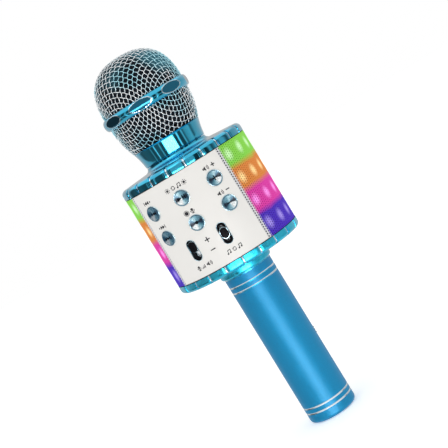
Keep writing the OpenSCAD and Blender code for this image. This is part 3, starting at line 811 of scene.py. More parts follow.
def woven_tree():
    """Square woven wire, drawn flat and then pressed over a turned outline from its pole.

    The host is the outline, a curve in X and Z. A wire's point keeps its azimuth, and its
    distance from the pole becomes a length along the outline. Cells that lie cornerwise
    draw out towards the rim, as pressed mesh does. Each wire runs a little way upright
    where it crosses another.
    """
    t = GeometryTree(
        "woven_basket",
        {
            "Half Count": 18,
            "Pitch": 0.0024,
            "Samples": 6,
            "Wire Radius": 0.0002,
            "Weave Height": 0.00025,
            "Upright Share": 0.22,
            "Draw": 50.0,
            "Shear": 150.0,
            "Turn": 0.0,
            "Skip": 0.0,
            "Reach": 0.043,
            "Side": 1.0,
        },
    )
    g = t.inputs
    pitches = t.times(g["Half Count"], 2.0)
    span = t.times(pitches, g["Pitch"])
    grid = t.add(
        "GeometryNodeMeshGrid",
        {
            "Size X": span,
            "Size Y": span,
            "Vertices X": t.plus(t.times(pitches, g["Samples"]), 1.0),
            "Vertices Y": t.plus(pitches, 1.0),
        },
    )
    ends = t.add("GeometryNodeInputMeshEdgeVertices").outputs
    run = t.minus(t.xyz(ends["Position 1"])[0], t.xyz(ends["Position 2"])[0])
    lines = t.add(
        "GeometryNodeDeleteGeometry",
        {
            "Geometry": grid.outputs["Mesh"],
            "Selection": t.compare("LESS_THAN", t.math("ABSOLUTE", run), 1e-6),
        },
        domain="EDGE",
        mode="EDGE_FACE",
    )
    both = t.add("GeometryNodeJoinGeometry")
    for turn, sign in ((0.0, 1.0), (math.pi / 2, -1.0)):
        turned = t.add(
            "GeometryNodeTransform", {"Geometry": lines.outputs[0], "Rotation": (0.0, 0.0, turn)}
        )
        marked = t.add(
            "GeometryNodeStoreNamedAttribute",
            {"Geometry": turned.outputs[0], "Name": "over", "Value": sign},
            data_type="FLOAT",
            domain="POINT",
        )
        t.tree.links.new(marked.outputs[0], both.inputs[0])

    # Length along the outline: the distance from the pole, drawn out on the diagonals
    x, y, _ = t.xyz(t.position())
    away = t.math("SQRT", t.plus(t.times(x, x), t.times(y, y)))
    cross = t.math("POWER", t.times(x, y), 2.0)
    drawn = t.times(t.times(g["Draw"], 4.0), t.divided(cross, away))
    length = t.plus(away, drawn)
    outside = t.add("FunctionNodeBooleanMath", operation="OR")
    t.put(outside.inputs[0], t.compare("GREATER_THAN", length, g["Reach"]))
    t.put(outside.inputs[1], t.compare("LESS_THAN", length, g["Skip"]))
    kept = t.add(
        "GeometryNodeDeleteGeometry",
        {"Geometry": both.outputs[0], "Selection": outside.outputs[0]},
        domain="POINT",
        mode="ALL",
    )

    # Over and under: up where a family passes over the other, down at the next crossing
    over = t.add("GeometryNodeInputNamedAttribute", {"Name": "over"}, data_type="FLOAT")
    phase = t.times(t.divided(t.plus(x, y), g["Pitch"]), math.pi)
    wave = t.times(t.math("COSINE", phase), over.outputs[0])
    heights = t.add(
        "GeometryNodeStoreNamedAttribute",
        {
            "Geometry": kept.outputs[0],
            "Name": "raised",
            "Value": t.plus(t.times(wave, 0.5), 0.5),
        },
        data_type="FLOAT",
        domain="POINT",
    )

    # Sideways step between crossings, none near a crossing
    shifts = []
    for along in (x, y):
        cells = t.divided(along, g["Pitch"])
        off = t.minus(cells, t.math("ROUND", cells))
        past = t.math("MAXIMUM", t.minus(t.math("ABSOLUTE", off), g["Upright Share"]), 0.0)
        scale = t.divided(0.5, t.minus(0.5, g["Upright Share"]))
        stepped = t.times(t.times(past, scale), t.math("SIGN", off))
        shifts.append(t.minus(stepped, off))
    aside = t.times(t.minus(shifts[0], shifts[1]), g["Pitch"])
    half_aside = t.times(aside, 0.5)
    angle = t.math("ARCTAN2", t.minus(y, half_aside), t.plus(x, half_aside))
    # The net shears as it is pressed: its cells close up on the diagonals, not on the axes
    shear = t.times(g["Shear"], t.times(away, away))
    swing = t.times(t.math("SINE", t.times(angle, 4.0)), 0.25)
    angle = t.plus(angle, t.times(shear, swing))
    angle = t.plus(angle, g["Turn"])

    sample = t.add(
        "GeometryNodeSampleCurve",
        {"Curves": g["Geometry"], "Length": t.minus(length, g["Skip"])},
        mode="LENGTH",
    )
    px, _, pz = t.xyz(sample.outputs["Position"])
    tx, _, tz = t.xyz(sample.outputs["Tangent"])
    lift = t.times(t.times(wave, g["Weave Height"]), g["Side"])
    radius = t.minus(px, t.times(tz, lift))
    place = t.vector(
        t.times(radius, t.math("COSINE", angle)),
        t.times(radius, t.math("SINE", angle)),
        t.plus(pz, t.times(tx, lift)),
    )
    laid = t.add("GeometryNodeSetPosition", {"Geometry": heights.outputs[0], "Position": place})
    paths = t.add("GeometryNodeMeshToCurve", {"Mesh": laid.outputs[0]})
    ring = t.add("GeometryNodeCurvePrimitiveCircle", {"Resolution": 6, "Radius": g["Wire Radius"]})
    wire = t.add(
        "GeometryNodeCurveToMesh",
        {"Curve": paths.outputs[0], "Profile Curve": ring.outputs[0], "Fill Caps": True},
    )
    shaded = t.add("GeometryNodeSetShadeSmooth", {"Geometry": wire.outputs[0]})
    return t.close(shaded.outputs[0])


def pierced_tree():
    """A pierced sheet: one cell with a round hole, repeated flat and then bent to the body."""
    t = GeometryTree(
        "pierced_skin",
        {
            "Columns": 54,
            "Rows": 45,
            "Cell Width": 0.0013,
            "Cell Height": 0.0013,
            "Hole Radius": 0.0004,
            "Thickness": 0.0005,
            "Radius": 0.04,
            "Start Angle": 0.0,
            "Low": 0.0,
        },
    )
    g = t.inputs
    width = t.times(g["Columns"], g["Cell Width"])
    tall = t.times(g["Rows"], g["Cell Height"])
    hole = t.add("GeometryNodeMeshCircle", {"Vertices": 8, "Radius": g["Hole Radius"]}, fill_type="NONE")
    spread = t.add(
        "GeometryNodeExtrudeMesh", {"Mesh": hole.outputs[0], "Offset Scale": 0.0}, mode="EDGES"
    )
    x, y, _ = t.xyz(t.position())
    most = t.math("MAXIMUM", t.math("ABSOLUTE", x), t.math("ABSOLUTE", y))
    square = t.vector(
        t.divided(t.times(x, t.times(g["Cell Width"], 0.5)), most),
        t.divided(t.times(y, t.times(g["Cell Height"], 0.5)), most),
        0.0,
    )
    cell = t.add(
        "GeometryNodeSetPosition",
        {"Geometry": spread.outputs["Mesh"], "Selection": spread.outputs["Top"], "Position": square},
    )
    points = t.add(
        "GeometryNodeMeshGrid",
        {
            "Size X": t.times(t.minus(g["Columns"], 1.0), g["Cell Width"]),
            "Size Y": t.times(t.minus(g["Rows"], 1.0), g["Cell Height"]),
            "Vertices X": g["Columns"],
            "Vertices Y": g["Rows"],
        },
    )
    copies = t.add(
        "GeometryNodeInstanceOnPoints", {"Points": points.outputs["Mesh"], "Instance": cell.outputs[0]}
    )
    real = t.add("GeometryNodeRealizeInstances", {"Geometry": copies.outputs[0]})
    merged = t.add(
        "GeometryNodeMergeByDistance", {"Geometry": real.outputs[0], "Distance": 1e-5}
    )
    raised = t.add(
        "GeometryNodeExtrudeMesh",
        {
            "Mesh": merged.outputs[0],
            "Offset": (0.0, 0.0, 1.0),
            "Offset Scale": g["Thickness"],
            "Individual": False,
        },
        mode="FACES",
    )
    back = t.add("GeometryNodeFlipFaces", {"Mesh": merged.outputs[0]})
    sheet = t.add("GeometryNodeJoinGeometry")
    t.tree.links.new(raised.outputs["Mesh"], sheet.inputs[0])
    t.tree.links.new(back.outputs[0], sheet.inputs[0])
    whole = t.add("GeometryNodeMergeByDistance", {"Geometry": sheet.outputs[0], "Distance": 1e-5})

    # Every other column of holes sits half a step higher, fading out at the two edges
    x, y, z = t.xyz(t.position())
    column = t.minus(t.divided(t.plus(x, t.times(width, 0.5)), g["Cell Width"]), 0.5)
    stagger = t.math("COSINE", t.times(column, math.pi))
    room = t.minus(t.times(tall, 0.5), t.math("ABSOLUTE", y))
    fade = t.math("MINIMUM", t.divided(room, g["Cell Height"]), 1.0)
    shift = t.times(t.times(stagger, fade), t.times(g["Cell Height"], 0.25))
    y = t.plus(y, shift)
    angle = t.plus(
        t.divided(t.plus(x, t.times(width, 0.5)), g["Radius"]), g["Start Angle"]
    )
    radius = t.plus(t.minus(g["Radius"], g["Thickness"]), z)
    bent = t.add(
        "GeometryNodeSetPosition",
        {
            "Geometry": whole.outputs[0],
            "Position": t.vector(
                t.times(radius, t.math("SINE", angle)),
                t.times(t.times(radius, t.math("COSINE", angle)), -1.0),
                t.plus(t.plus(y, t.times(tall, 0.5)), g["Low"]),
            ),
        },
    )
    return t.close(bent.outputs[0])


# ------------------------------------------------------------------ head


def curve_object(name, points):
    """A plain poly curve in X and Z."""
    data = bpy.data.curves.new(name, "CURVE")
    data.dimensions = "3D"
    line = data.splines.new("POLY")
    line.points.add(len(points) - 1)
    for point, (r, z) in zip(line.points, points):
        point.co = (r, 0, z, 1)
    return in_scene(name, data)


def dome_outline(inset, steps=48):
    """The dome from its pole down to its rim, by the rule of a squared ellipse."""
    points = []
    for i in range(steps + 1):
        a = math.pi / 2 * (1 - i / steps)
        points.append(
            (
                (DOME_R - inset) * abs(math.cos(a)) ** (2 / DOME_POWER),
                DOME_LOW + (DOME_TOP - DOME_LOW - inset) * math.sin(a) ** (2 / DOME_POWER),
            )
        )
    points[0] = (0, points[0][1])
    return points


def bowl_radius(z, inset):
    """The lower basket's radius at a height: an arc that is upright at its top."""
    return BASKET_TOP_R - inset - BASKET_BEND + math.sqrt(BASKET_BEND**2 - (BASKET_TOP - z) ** 2)


def bowl_outline(inset, low_z=None, steps=24):
    start = BASKET_LOW if low_z is None else low_z
    heights = [start + (BASKET_TOP - start) * i / steps for i in range(steps + 1)]
    return [(bowl_radius(z, inset), z) for z in heights]


def outline_length(points):
    return sum(math.dist(a, b) for a, b in zip(points, points[1:]))


WIRE_R = 0.22 * MM
WEAVE = 0.24 * MM
WIRE_PITCH = 3.2 * MM
WIRE_TURN = math.radians(VIEW_AZIMUTH - 90 - 45)
BOWL_SKIP = 27 * MM
WOVEN = woven_tree()


def woven_basket(name, node, line, skip, side):
    """Woven wires pressed over an outline, which starts a skipped length away from the pole."""
    reach = skip + outline_length(line)
    basket = grown(
        curve_object(node + "_line", line),
        name,
        WOVEN,
        MATERIALS["grille_wire"],
        **{
            "Half Count": math.ceil(reach / WIRE_PITCH),
            "Pitch": WIRE_PITCH,
            "Wire Radius": WIRE_R,
            "Weave Height": WEAVE,
            "Turn": WIRE_TURN,
            "Skip": skip,
            "Reach": reach,
            "Side": side,
        },
    )
    finished(basket, node)


def build_grilles():
    """Both baskets, their wires' ends tucked under the ring."""
    inset = WIRE_R + WEAVE
    tuck = 1.2 * MM
    line = dome_outline(inset)
    line.append((line[-1][0], DOME_LOW - tuck))
    woven_basket("upper_grille_wires", "upper_grille", line, 0.0, 1.0)
    line = bowl_outline(inset)
    line.append((line[-1][0], BASKET_TOP + tuck))
    woven_basket("lower_grille_wires", "lower_grille", line, BOWL_SKIP, -1.0)


def build_foam():
    gap, wall = 1.4 * MM, 4 * MM
    bottom = low("foam_liner").z
    outer = list(reversed(dome_outline(gap)))
    inner = dome_outline(gap + wall)
    lining = list(reversed(bowl_outline(gap + wall, bottom)))
    outline = bowl_outline(gap, bottom) + outer + inner + lining
    liner = spin("foam_windscreen", outline, 96, sharp=60)
    finished(liner, "foam_liner")


def build_ring():
    """A barrel-shaped band with flats, each flat a pointed oval, painted darker as shade and outlined in
    pale chrome as a painted highlight.
    """
    flats = 8
    first_flat = 8.4
    half = (RING_TOP - RING_LOW) / 2
    centre_z = (RING_TOP + RING_LOW) / 2
    edge_r = 27.2 * MM
    full_r = 28.5 * MM
    flat_r = 27.4 * MM
    flat_bulge = 0.16 * MM
    bore = 25.4 * MM
    rise = full_r - edge_r
    bend = (half * half + rise * rise) / (2 * rise)
    profile = []
    steps = 20
    for i in range(steps + 1):
        z = -half + 2 * half * i / steps
        profile.append((full_r - bend + math.sqrt(bend * bend - z * z), centre_z + z))
    profile += [(edge_r - 0.5 * MM, RING_TOP + 0.25 * MM), (bore, RING_TOP + 0.1 * MM)]
    profile += [(bore, RING_LOW - 0.1 * MM), (edge_r - 0.5 * MM, RING_LOW - 0.25 * MM)]
    columns = 360
    verts = []
    on_flat = []
    for i in range(columns):
        az = 360 * i / columns
        off = (az - first_flat + 180 / flats) % (360 / flats) - 180 / flats
        cap = flat_r / math.cos(math.radians(off))
        a = math.radians(az)
        for r, z in profile:
            flat = cap + flat_bulge * (1 - ((z - centre_z) / half) ** 2)
            on_flat.append(bore < flat < r)
            r = min(r, flat) if r > bore else r
            verts.append((r * math.sin(a), -r * math.cos(a), z))
    faces = loop_faces(columns, len(profile), wrap=True)
    ring = new_object("grille_band", verts, faces, sharp=12)
    # Flats take the darker chrome as painted shade; faces on a flat's edge take pale chrome as a painted
    # highlight
    for material in (MATERIALS["tinted_chrome"], MATERIALS["bright_trim"], SHADE_PAINTED_CHROME):
        ring.data.materials.append(material)
    for poly in ring.data.polygons:
        flat_corners = sum(on_flat[v] for v in poly.vertices)
        if flat_corners == len(poly.vertices):
            poly.material_index = 2
        elif flat_corners:
            poly.material_index = 1
    finished(ring, "grille_ring")


def build_neck():
    rows = 16
    low_r = 19.7 * MM
    straight, flared = 0.45, 0.55
    outline = []
    for i in range(rows + 1):
        u = i / rows
        growth = straight * u + flared * u * u
        outline.append((low_r + (NECK_TOP_R - low_r) * growth, NECK_LOW + (NECK_TOP - NECK_LOW) * u))
    lip = 0.35 * MM
    outline[0] = (outline[0][0] - lip, NECK_LOW)
    outline.insert(1, (outline[0][0] + lip, NECK_LOW + lip))
    outline[-1] = (NECK_TOP_R, NECK_TOP - lip)
    outline.append((NECK_TOP_R - lip, NECK_TOP))
    outline += [(NECK_BORE, NECK_TOP), (NECK_BORE, NECK_LOW)]
    finished(spin("neck_cone", outline, 192), "neck_collar")


# ------------------------------------------------------------------ body shells


def groove_columns(count, width, edge, fill=6):
    """Columns round a cap, with a weight of 1 in each groove and 0 between them."""
    columns = []
    step = 360 / count
    for i in range(count):
        centre = i * step
        for off, weight in (
            (-width / 2 - edge, 0),
            (-width / 2 - edge / 3, 0.12),
            (-width / 2 + edge / 3, 0.88),
            (-width / 2 + edge, 1),
            (width / 2 - edge, 1),
            (width / 2 - edge / 3, 0.88),
            (width / 2 + edge / 3, 0.12),
            (width / 2 + edge, 0),
        ):
            columns.append((centre + off, weight))
        first = centre + width / 2 + edge
        last = centre + step - width / 2 - edge
        for k in range(1, fill):
            columns.append((first + (last - first) * k / fill, 0))
    return columns


def rim_outlines(rest, r, z_edge, z_round, rounding, depth, upward, steps=8):
    """The outer rim of a cap as two outlines, plain and in its grooves, joined to the rest."""
    plain_rim, grooved = [], []
    sign = 1 if upward else -1
    lip = SEAM
    for points, inset in ((plain_rim, 0.0), (grooved, depth)):
        points.append((r - lip - inset, z_edge))
        points.append((r - inset, z_edge + sign * lip))
        centre = (r - rounding, z_round - sign * rounding)
        for k in range(steps + 1):
            a = math.pi / 2 * k / steps
            points.append(
                (
                    centre[0] + (rounding - inset) * math.cos(a),
                    centre[1] + sign * (rounding - inset) * math.sin(a),
                )
            )
    if upward:
        return plain_rim + rest, grooved + rest
    return list(reversed(plain_rim)) + rest, list(reversed(grooved)) + rest


def dress_cap(cap, plating, edge_z):
    """Plating all over, pale chrome in the grooves as a painted highlight, and a dark seam against the
    walls of the body.
    """
    for material in (plating, MATERIALS["bright_trim"], MATERIALS["black_plastic"]):
        cap.data.materials.append(material)
    step = 360 / GROOVE_COUNT
    rim_depth = 2.4 * MM
    for poly in cap.data.polygons:
        c = poly.center
        if math.hypot(c.x, c.y) < BODY_R - rim_depth:
            continue
        off = (azimuth_of(c) + step / 2) % step - step / 2
        if abs(c.z - edge_z) < SEAM / 2 + 0.05 * MM:
            poly.material_index = 2
        # Painted highlight: pale chrome down the middle of each groove
        elif abs(off) < GROOVE_SHINE:
            poly.material_index = 1


def build_caps():
    groove_width, groove_edge, groove_depth = 1.7, 0.3, 0.7 * MM
    columns = groove_columns(GROOVE_COUNT, groove_width, groove_edge)
    wall = 2 * MM
    inside = BODY_R - wall
    rim_r, low_rim_r = 3 * MM, 2.3 * MM

    # The deck of the top cap: a flat cone from the rim, then a flare up to the neck
    deck_r, neck_r = 22.5 * MM, 19.5 * MM
    rim_inner = BODY_R - rim_r
    deck = RIM_TOP + 1.2 * MM
    cone, flare = 4, 8
    rest = []
    for k in range(1, cone + 1):
        r = deck_r + (rim_inner - deck_r) * (1 - k / cone)
        rest.append((r, RIM_TOP + (deck - RIM_TOP) * k / cone))
    for k in range(1, flare + 1):
        a = math.pi / 2 * k / flare
        r = deck_r - (deck_r - neck_r) * math.sin(a)
        rest.append((r, deck + (DECK_TOP - deck) * (1 - math.cos(a))))
    ceiling = RIM_TOP - wall
    rest += [(NECK_BORE, DECK_TOP), (NECK_BORE, ceiling), (inside, ceiling), (inside, PANEL_TOP)]
    outer, grooved = rim_outlines(rest, BODY_R, PANEL_TOP, RIM_TOP, rim_r, groove_depth, True)
    top = spin("top_cap_shell", outer, columns, shift=grooved)
    dress_cap(top, MATERIALS["tinted_chrome"], PANEL_TOP)
    finished(top, "top_cap")

    hole = 15.05 * MM
    base = BODY_LOW + wall
    rest = [(inside, PANEL_LOW), (inside, base), (hole, base), (hole, BODY_LOW)]
    outer, grooved = rim_outlines(
        rest, BODY_R, PANEL_LOW, BODY_LOW, low_rim_r, groove_depth, False
    )
    bottom = spin("bottom_cap_shell", outer, columns, shift=grooved)
    dress_cap(bottom, SOFT_CHROME, PANEL_LOW)
    finished(bottom, "bottom_cap")


def panel_wall(name, half, middle_az):
    edge = 0.35 * MM
    inner = BODY_R - PANEL_WALL
    outline = rounded(
        [
            (inner, PANEL_LOW, 0),
            (BODY_R, PANEL_LOW, edge),
            (BODY_R, PANEL_TOP, edge),
            (inner, PANEL_TOP, 0),
        ],
        steps=3,
    )
    return wall_sector(name, outline, middle_az - half, middle_az + half, int(half * 1.5))


BEZEL_R = 4.75 * MM
WELL_WIDTH = 6.0 * MM
WELL_LENGTH = 13.4 * MM
HOLE_GAP = 0.05 * MM
JACK_HOLE_R = 4 * MM


def wall_cutter(outline, azimuth, z):
    """A cutter through the wall of the body, on its own axis."""
    cutter = extruded("cutter", outline, BODY_R - 6.2 * MM, BODY_R + 2.8 * MM)
    return placed(cutter, outward(azimuth, z))


def build_front_panel():
    panel = panel_wall("control_panel", PANEL_HALF, 0)
    cutters = []
    for node in BUTTON_NODES:
        spot = middle(node)
        hole = circle_outline(BEZEL_R + HOLE_GAP, 48)
        cutters.append(wall_cutter(hole, azimuth_of(spot), spot.z))
    for node in WELL_NODES:
        spot = middle(node)
        hole = slot_outline(WELL_WIDTH + HOLE_GAP, WELL_LENGTH + HOLE_GAP)
        cutters.append(wall_cutter(hole, azimuth_of(spot), spot.z))
    finished(cut(panel, cutters), "front_panel")


def build_rear_panel():
    panel = panel_wall("rear_cover", REAR_HALF, 180)
    cutters = []
    margin = 0.25 * MM
    for node in ("charge_port", "card_slot"):
        a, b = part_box(node)
        box = [
            (a.x - margin, a.z - margin),
            (b.x + margin, a.z - margin),
            (b.x + margin, b.z + margin),
            (a.x - margin, b.z + margin),
        ]
        hole = [(-x, z) for x, z in reversed(box)]
        cutters.append(wall_cutter(hole, 180, 0))
    cutters.append(wall_cutter(circle_outline(JACK_HOLE_R, 40), 180, middle("audio_jack").z))
    finished(cut(panel, cutters), "rear_panel")


def build_side_skins():
    """Pierced skins between the front and the rear panel, right and left."""
    tree = pierced_tree()
    pitch, hole_r = 1.5 * MM, 0.55 * MM
    radius = BODY_R - 0.1 * MM
    gap = 0.25
    for side, name in ((1, "right_mesh"), (-1, "left_mesh")):
        start = PANEL_HALF + gap if side > 0 else -(180 - REAR_HALF - gap)
        sweep = math.radians(180 - REAR_HALF - PANEL_HALF - 2 * gap)
        columns = round(radius * sweep / pitch)
        rows = round((PANEL_TOP - PANEL_LOW) / pitch)
        host = new_object(name + "_host", [(0, 0, 0)], [])
        skin = grown(
            host,
            name.replace("mesh", "pierced_skin"),
            tree,
            MATERIALS["speaker_mesh"],
            **{
                "Columns": columns,
                "Rows": rows,
                "Cell Width": radius * sweep / columns,
                "Cell Height": (PANEL_TOP - PANEL_LOW) / rows,
                "Hole Radius": hole_r,
                "Radius": radius,
                "Start Angle": math.radians(start),
                "Low": PANEL_LOW,
            },
        )
        smooth(skin)
        finished(skin, name)


# ------------------------------------------------------------------ controls


def polar_uv(obj, matrix, mirrored=False):
    """A UV map whose U runs round the button's own axis, for the painted sectors of reflection on the
    turned face.
    """
    layer = obj.data.uv_layers.new(name="turned")
    back = matrix.inverted()
    for poly in obj.data.polygons:
        spots = [back @ obj.data.vertices[v].co for v in poly.vertices]
        turns = [math.atan2(p.y, p.x) / (2 * math.pi) for p in spots]
        off_axis = [t for t, p in zip(turns, spots) if math.hypot(p.x, p.y) > 1e-6]
        most = max(off_axis)
        off_axis = [t + 1 if most - t > 0.5 else t for t in off_axis]
        for loop, p, t in zip(poly.loop_indices, spots, turns):
            reach = math.hypot(p.x, p.y)
            if reach < 1e-6:
                t = sum(off_axis) / len(off_axis)
            elif most - t > 0.5:
                t += 1
            layer.data[loop].uv = (0.5 - t if mirrored else t, reach * 100)


BUTTON_FACE = 40.9 * MM
DISH_R = 13 * MM
DISH_DEPTH = 0.6 * MM
# Share of painted shade on the prev and next buttons
SIDE_BUTTON_SHADE = 0.55


def dish_height(reach):
    """Distance from the body's axis of a button's dished face, at a distance from its centre."""
    return BUTTON_FACE - DISH_DEPTH + DISH_R - math.sqrt(DISH_R**2 - reach**2)


def build_buttons():
    r = 4.17 * MM
    lip = 3.85 * MM
    stem_r, stem_back = 1.5 * MM, 35.5 * MM
    flange_r, flange_back, flange_front = 5 * MM, 36.4 * MM, 37.5 * MM
    steps = 10
    for node in BUTTON_NODES:
        spot = middle(node)
        az = azimuth_of(spot)
        dish = []
        for i in range(steps + 1):
            q = lip * i / steps
            dish.append((q, dish_height(q)))
        rim_top = dish[-1][1] + 0.1 * MM
        outline = [
            (0, stem_back),
            (stem_r, stem_back),
            (stem_r, flange_back),
            (flange_r, flange_back),
            (flange_r, flange_front),
            (r, flange_front),
            (r, rim_top - 0.18 * MM),
            (r - 0.12 * MM, rim_top),
        ]
        outline += list(reversed(dish))
        cap = spin(node + "_cap", outline, 48, sharp=30)
        matrix = outward(az, spot.z)
        placed(cap, matrix)
        cap.data.update()
        # The volume buttons take the painted sectors mirrored
        polar_uv(cap, matrix, mirrored=node.startswith("volume"))
        # Painted shade on the prev and next buttons only
        side_shade = cap.data.attributes.new("side_shade", "FLOAT", "POINT")
        for value in side_shade.data:
            value.value = SIDE_BUTTON_SHADE if node in ("prev_button", "next_button") else 0.0
        finished(cap, node, body=node)


def build_bezels():
    parts = []
    outer, inner = BEZEL_R, 4.25 * MM
    back, front = 38 * MM, BODY_R + 0.35 * MM
    for node in BUTTON_NODES:
        spot = middle(node)
        outline = rounded(
            [(inner, back, 0), (outer, back, 0), (outer, front, 0.2 * MM), (inner, front, 0.2 * MM)]
        )
        ring = spin("bezel", outline, 64, sharp=50)
        parts.append(placed(ring, outward(azimuth_of(spot), spot.z)))
    finished(joined("button_rings", parts), "button_bezels")


def build_wells():
    """A bright oval tub round each slider: rim, walls, a curved-in floor and its slit."""
    for node in WELL_NODES:
        spot = middle(node)
        front = BODY_R + 0.25 * MM
        floor = 37.9 * MM
        back = 37.4 * MM
        rings = [
            (WELL_WIDTH / MM, WELL_LENGTH / MM, back),
            (WELL_WIDTH / MM, WELL_LENGTH / MM, front - 0.15 * MM),
            (5.7, 13.1, front),
            (5.5, 12.9, front),
            (5.2, 12.6, front - 0.2 * MM),
            (5.2, 12.6, floor + 0.5 * MM),
            (4.3, 11.7, floor),
            (2.2, 10.0, floor),
            (2.2, 10.0, back),
        ]
        verts = []
        for width, length, z in rings:
            outline = slot_outline(width * MM, length * MM, 14)
            verts += [(x, y, z) for x, y in outline]
        count = len(verts) // len(rings)
        faces = loop_faces(len(rings), count, wrap=True, flip=True)
        well = new_object(node + "_tub", verts, faces, sharp=30)
        well.data.materials.append(MATERIALS[SLOTS[node]])
        well.data.materials.append(MATERIALS["black_plastic"])
        floor_start, floor_end = 5 * count, 7 * count
        for poly in well.data.polygons[floor_start:floor_end]:
            poly.material_index = 1
        placed(well, outward(azimuth_of(spot), spot.z))
        finished(well, node)


def build_slider_knobs():
    """A black oval cap in a thin bright ring, on a lever that goes through the slit.

    The ring starts above the curve at the foot of the well's wall, to stay clear of it.
    """
    straight = 2 * MM
    cap_width, ring_width = 4.5 * MM, 5.05 * MM
    cap_base, ring_base, ring_face = 38.2 * MM, 38.45 * MM, 39.7 * MM
    lever_back = 34.9 * MM
    for node, well in zip(SLIDER_NODES, WELL_NODES):
        az = azimuth_of(middle(well))
        height = middle(node).z
        cap = extruded(
            node + "_cap",
            slot_outline(cap_width, cap_width + straight, 14),
            cap_base,
            BODY_R + 0.5 * MM,
            taper=0.8 * MM,
            sharp=40,
        )
        cap.data.materials.append(MATERIALS["black_knob"])
        ring = extruded(
            node + "_ring",
            slot_outline(ring_width, ring_width + straight, 14),
            ring_base,
            ring_face,
            taper=0.15 * MM,
            sharp=40,
        )
        ring.data.materials.append(MATERIALS["bright_trim"])
        lever = extruded(
            node + "_lever", bar(0, 0, 1.2 * MM, 2.4 * MM), lever_back, cap_base + 0.1 * MM
        )
        lever.data.materials.append(MATERIALS["black_knob"])
        knob = joined(node + "_knob", [cap, ring, lever])
        placed(knob, outward(az, height))
        finished(knob, node, body=node)


# ------------------------------------------------------------------ printed pictograms


def disc(u, v, r):
    return circle_outline(r, 20, u, v)


def arrow(u, v, w, h):
    """A triangle that points towards +u, or towards -u for a negative width."""
    points = [(u - w / 2, v - h / 2), (u + w / 2, v), (u - w / 2, v + h / 2)]
    return points if w > 0 else list(reversed(points))


def arcs(u, v, r, thick, a0, a1, steps=6):
    """A curved stroke as a row of small quads."""
    quads = []
    near, far = r - thick / 2, r + thick / 2
    for k in range(steps):
        start, end = (math.radians(a0 + (a1 - a0) * (k + i) / steps) for i in (0, 1))
        corners = ((near, start), (far, start), (far, end), (near, end))
        quads.append([(u + q * math.cos(b), v + q * math.sin(b)) for q, b in corners])
    return quads


def plus(u, v, size, thick):
    arm = (size - thick) / 2
    return [
        bar(u, v, thick, size),
        bar(u - (arm + thick) / 2, v, arm, thick),
        bar(u + (arm + thick) / 2, v, arm, thick),
    ]


def loudspeaker(u, v):
    """A small loudspeaker with two waves."""
    cone = [(u - 0.3, v - 0.45), (u + 0.6, v - 1.1), (u + 0.6, v + 1.1), (u - 0.3, v + 0.45)]
    waves = arcs(u + 0.5, v, 1.0, 0.32, -42, 42) + arcs(u + 0.5, v, 1.65, 0.32, -42, 42)
    return [bar(u - 0.65, v, 0.6, 0.9), cone] + waves


def microphone(u, v):
    """A small microphone in a cradle on a foot."""
    head = [disc(u, v + 0.55, 0.62), bar(u, v + 0.15, 0.7, 0.8)]
    foot = [bar(u, v - 1.0, 0.32, 0.5), bar(u, v - 1.2, 1.2, 0.3)]
    return head + foot + arcs(u, v + 0.2, 1.0, 0.3, 180, 360)


def lamp(u, v):
    """A round lamp with eight rays."""
    rays = []
    near, far, half = 0.85, 1.3, 0.16
    for k in range(8):
        a = math.radians(45 * k)
        c, s = math.cos(a), math.sin(a)
        corners = ((near, -half), (far, -half), (far, half), (near, half))
        rays.append([(u + p * c - q * s, v + p * s + q * c) for p, q in corners])
    return [disc(u, v, 0.6)] + rays


def notes(u, v):
    """Two joined music notes."""
    return [
        disc(u - 0.75, v - 0.8, 0.42),
        disc(u + 0.65, v - 0.6, 0.42),
        bar(u - 0.42, v + 0.05, 0.3, 1.7),
        bar(u + 0.98, v + 0.25, 0.3, 1.7),
        [(u - 0.52, v + 0.6), (u + 1.08, v + 0.8), (u + 1.08, v + 1.15), (u - 0.52, v + 0.95)],
    ]


def swirl(u, v):
    """Two arrows that chase each other."""
    return (
        arcs(u, v, 0.85, 0.36, 20, 150)
        + arcs(u, v, 0.85, 0.36, 200, 330)
        + [arrow(u - 0.85, v + 0.25, -0.7, 0.8), arrow(u + 0.85, v - 0.25, 0.7, 0.8)]
    )


def levels(u, v):
    """Four bars, each taller than the last."""
    heights = [0.5 + 0.4 * k for k in range(4)]
    return [bar(u + 0.6 * k, v - 1.0 + h / 2, 0.35, h) for k, h in enumerate(heights)]


def scaled(polygons, share):
    return [[(x * share, y * share) for x, y in p] for p in polygons]


def printed(name, polygons, az, z, material, node="front_panel"):
    """Thin raised marks from outlines in millimetres, each laid on the wall at its own azimuth."""
    sunk, proud, dish_sunk, dish_proud = 0.02 * MM, 0.03 * MM, 0.12 * MM, 0.02 * MM
    body = node if node in BUTTON_NODES else "shell"
    parts = []
    for polygon in polygons:
        u = sum(p[0] for p in polygon) / len(polygon)
        local = [((p[0] - u) * MM, p[1] * MM) for p in polygon]
        area = sum(a[0] * b[1] - b[0] * a[1] for a, b in zip(local, local[1:] + local[:1]))
        if area < 0:
            local.reverse()
        if body == "shell":
            mark = extruded("mark", local, BODY_R - sunk, BODY_R + proud)
            turn = math.degrees(u * MM / BODY_R)
        else:
            far = max(math.hypot(*p) for p in polygon) * MM
            rise = dish_height(far)
            mark = extruded("mark", local, rise - dish_sunk, rise + dish_proud)
            mark.data.transform(Matrix.Translation((u * MM, 0, 0)))
            turn = 0.0
        parts.append(placed(mark, outward(az + turn, z)))
    marks = joined(name, parts)
    marks.data.materials.append(material)
    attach(marks, body)
    return marks


LABEL_SCALE = 1.2
SLIDER_LABEL_SCALE = 1.15


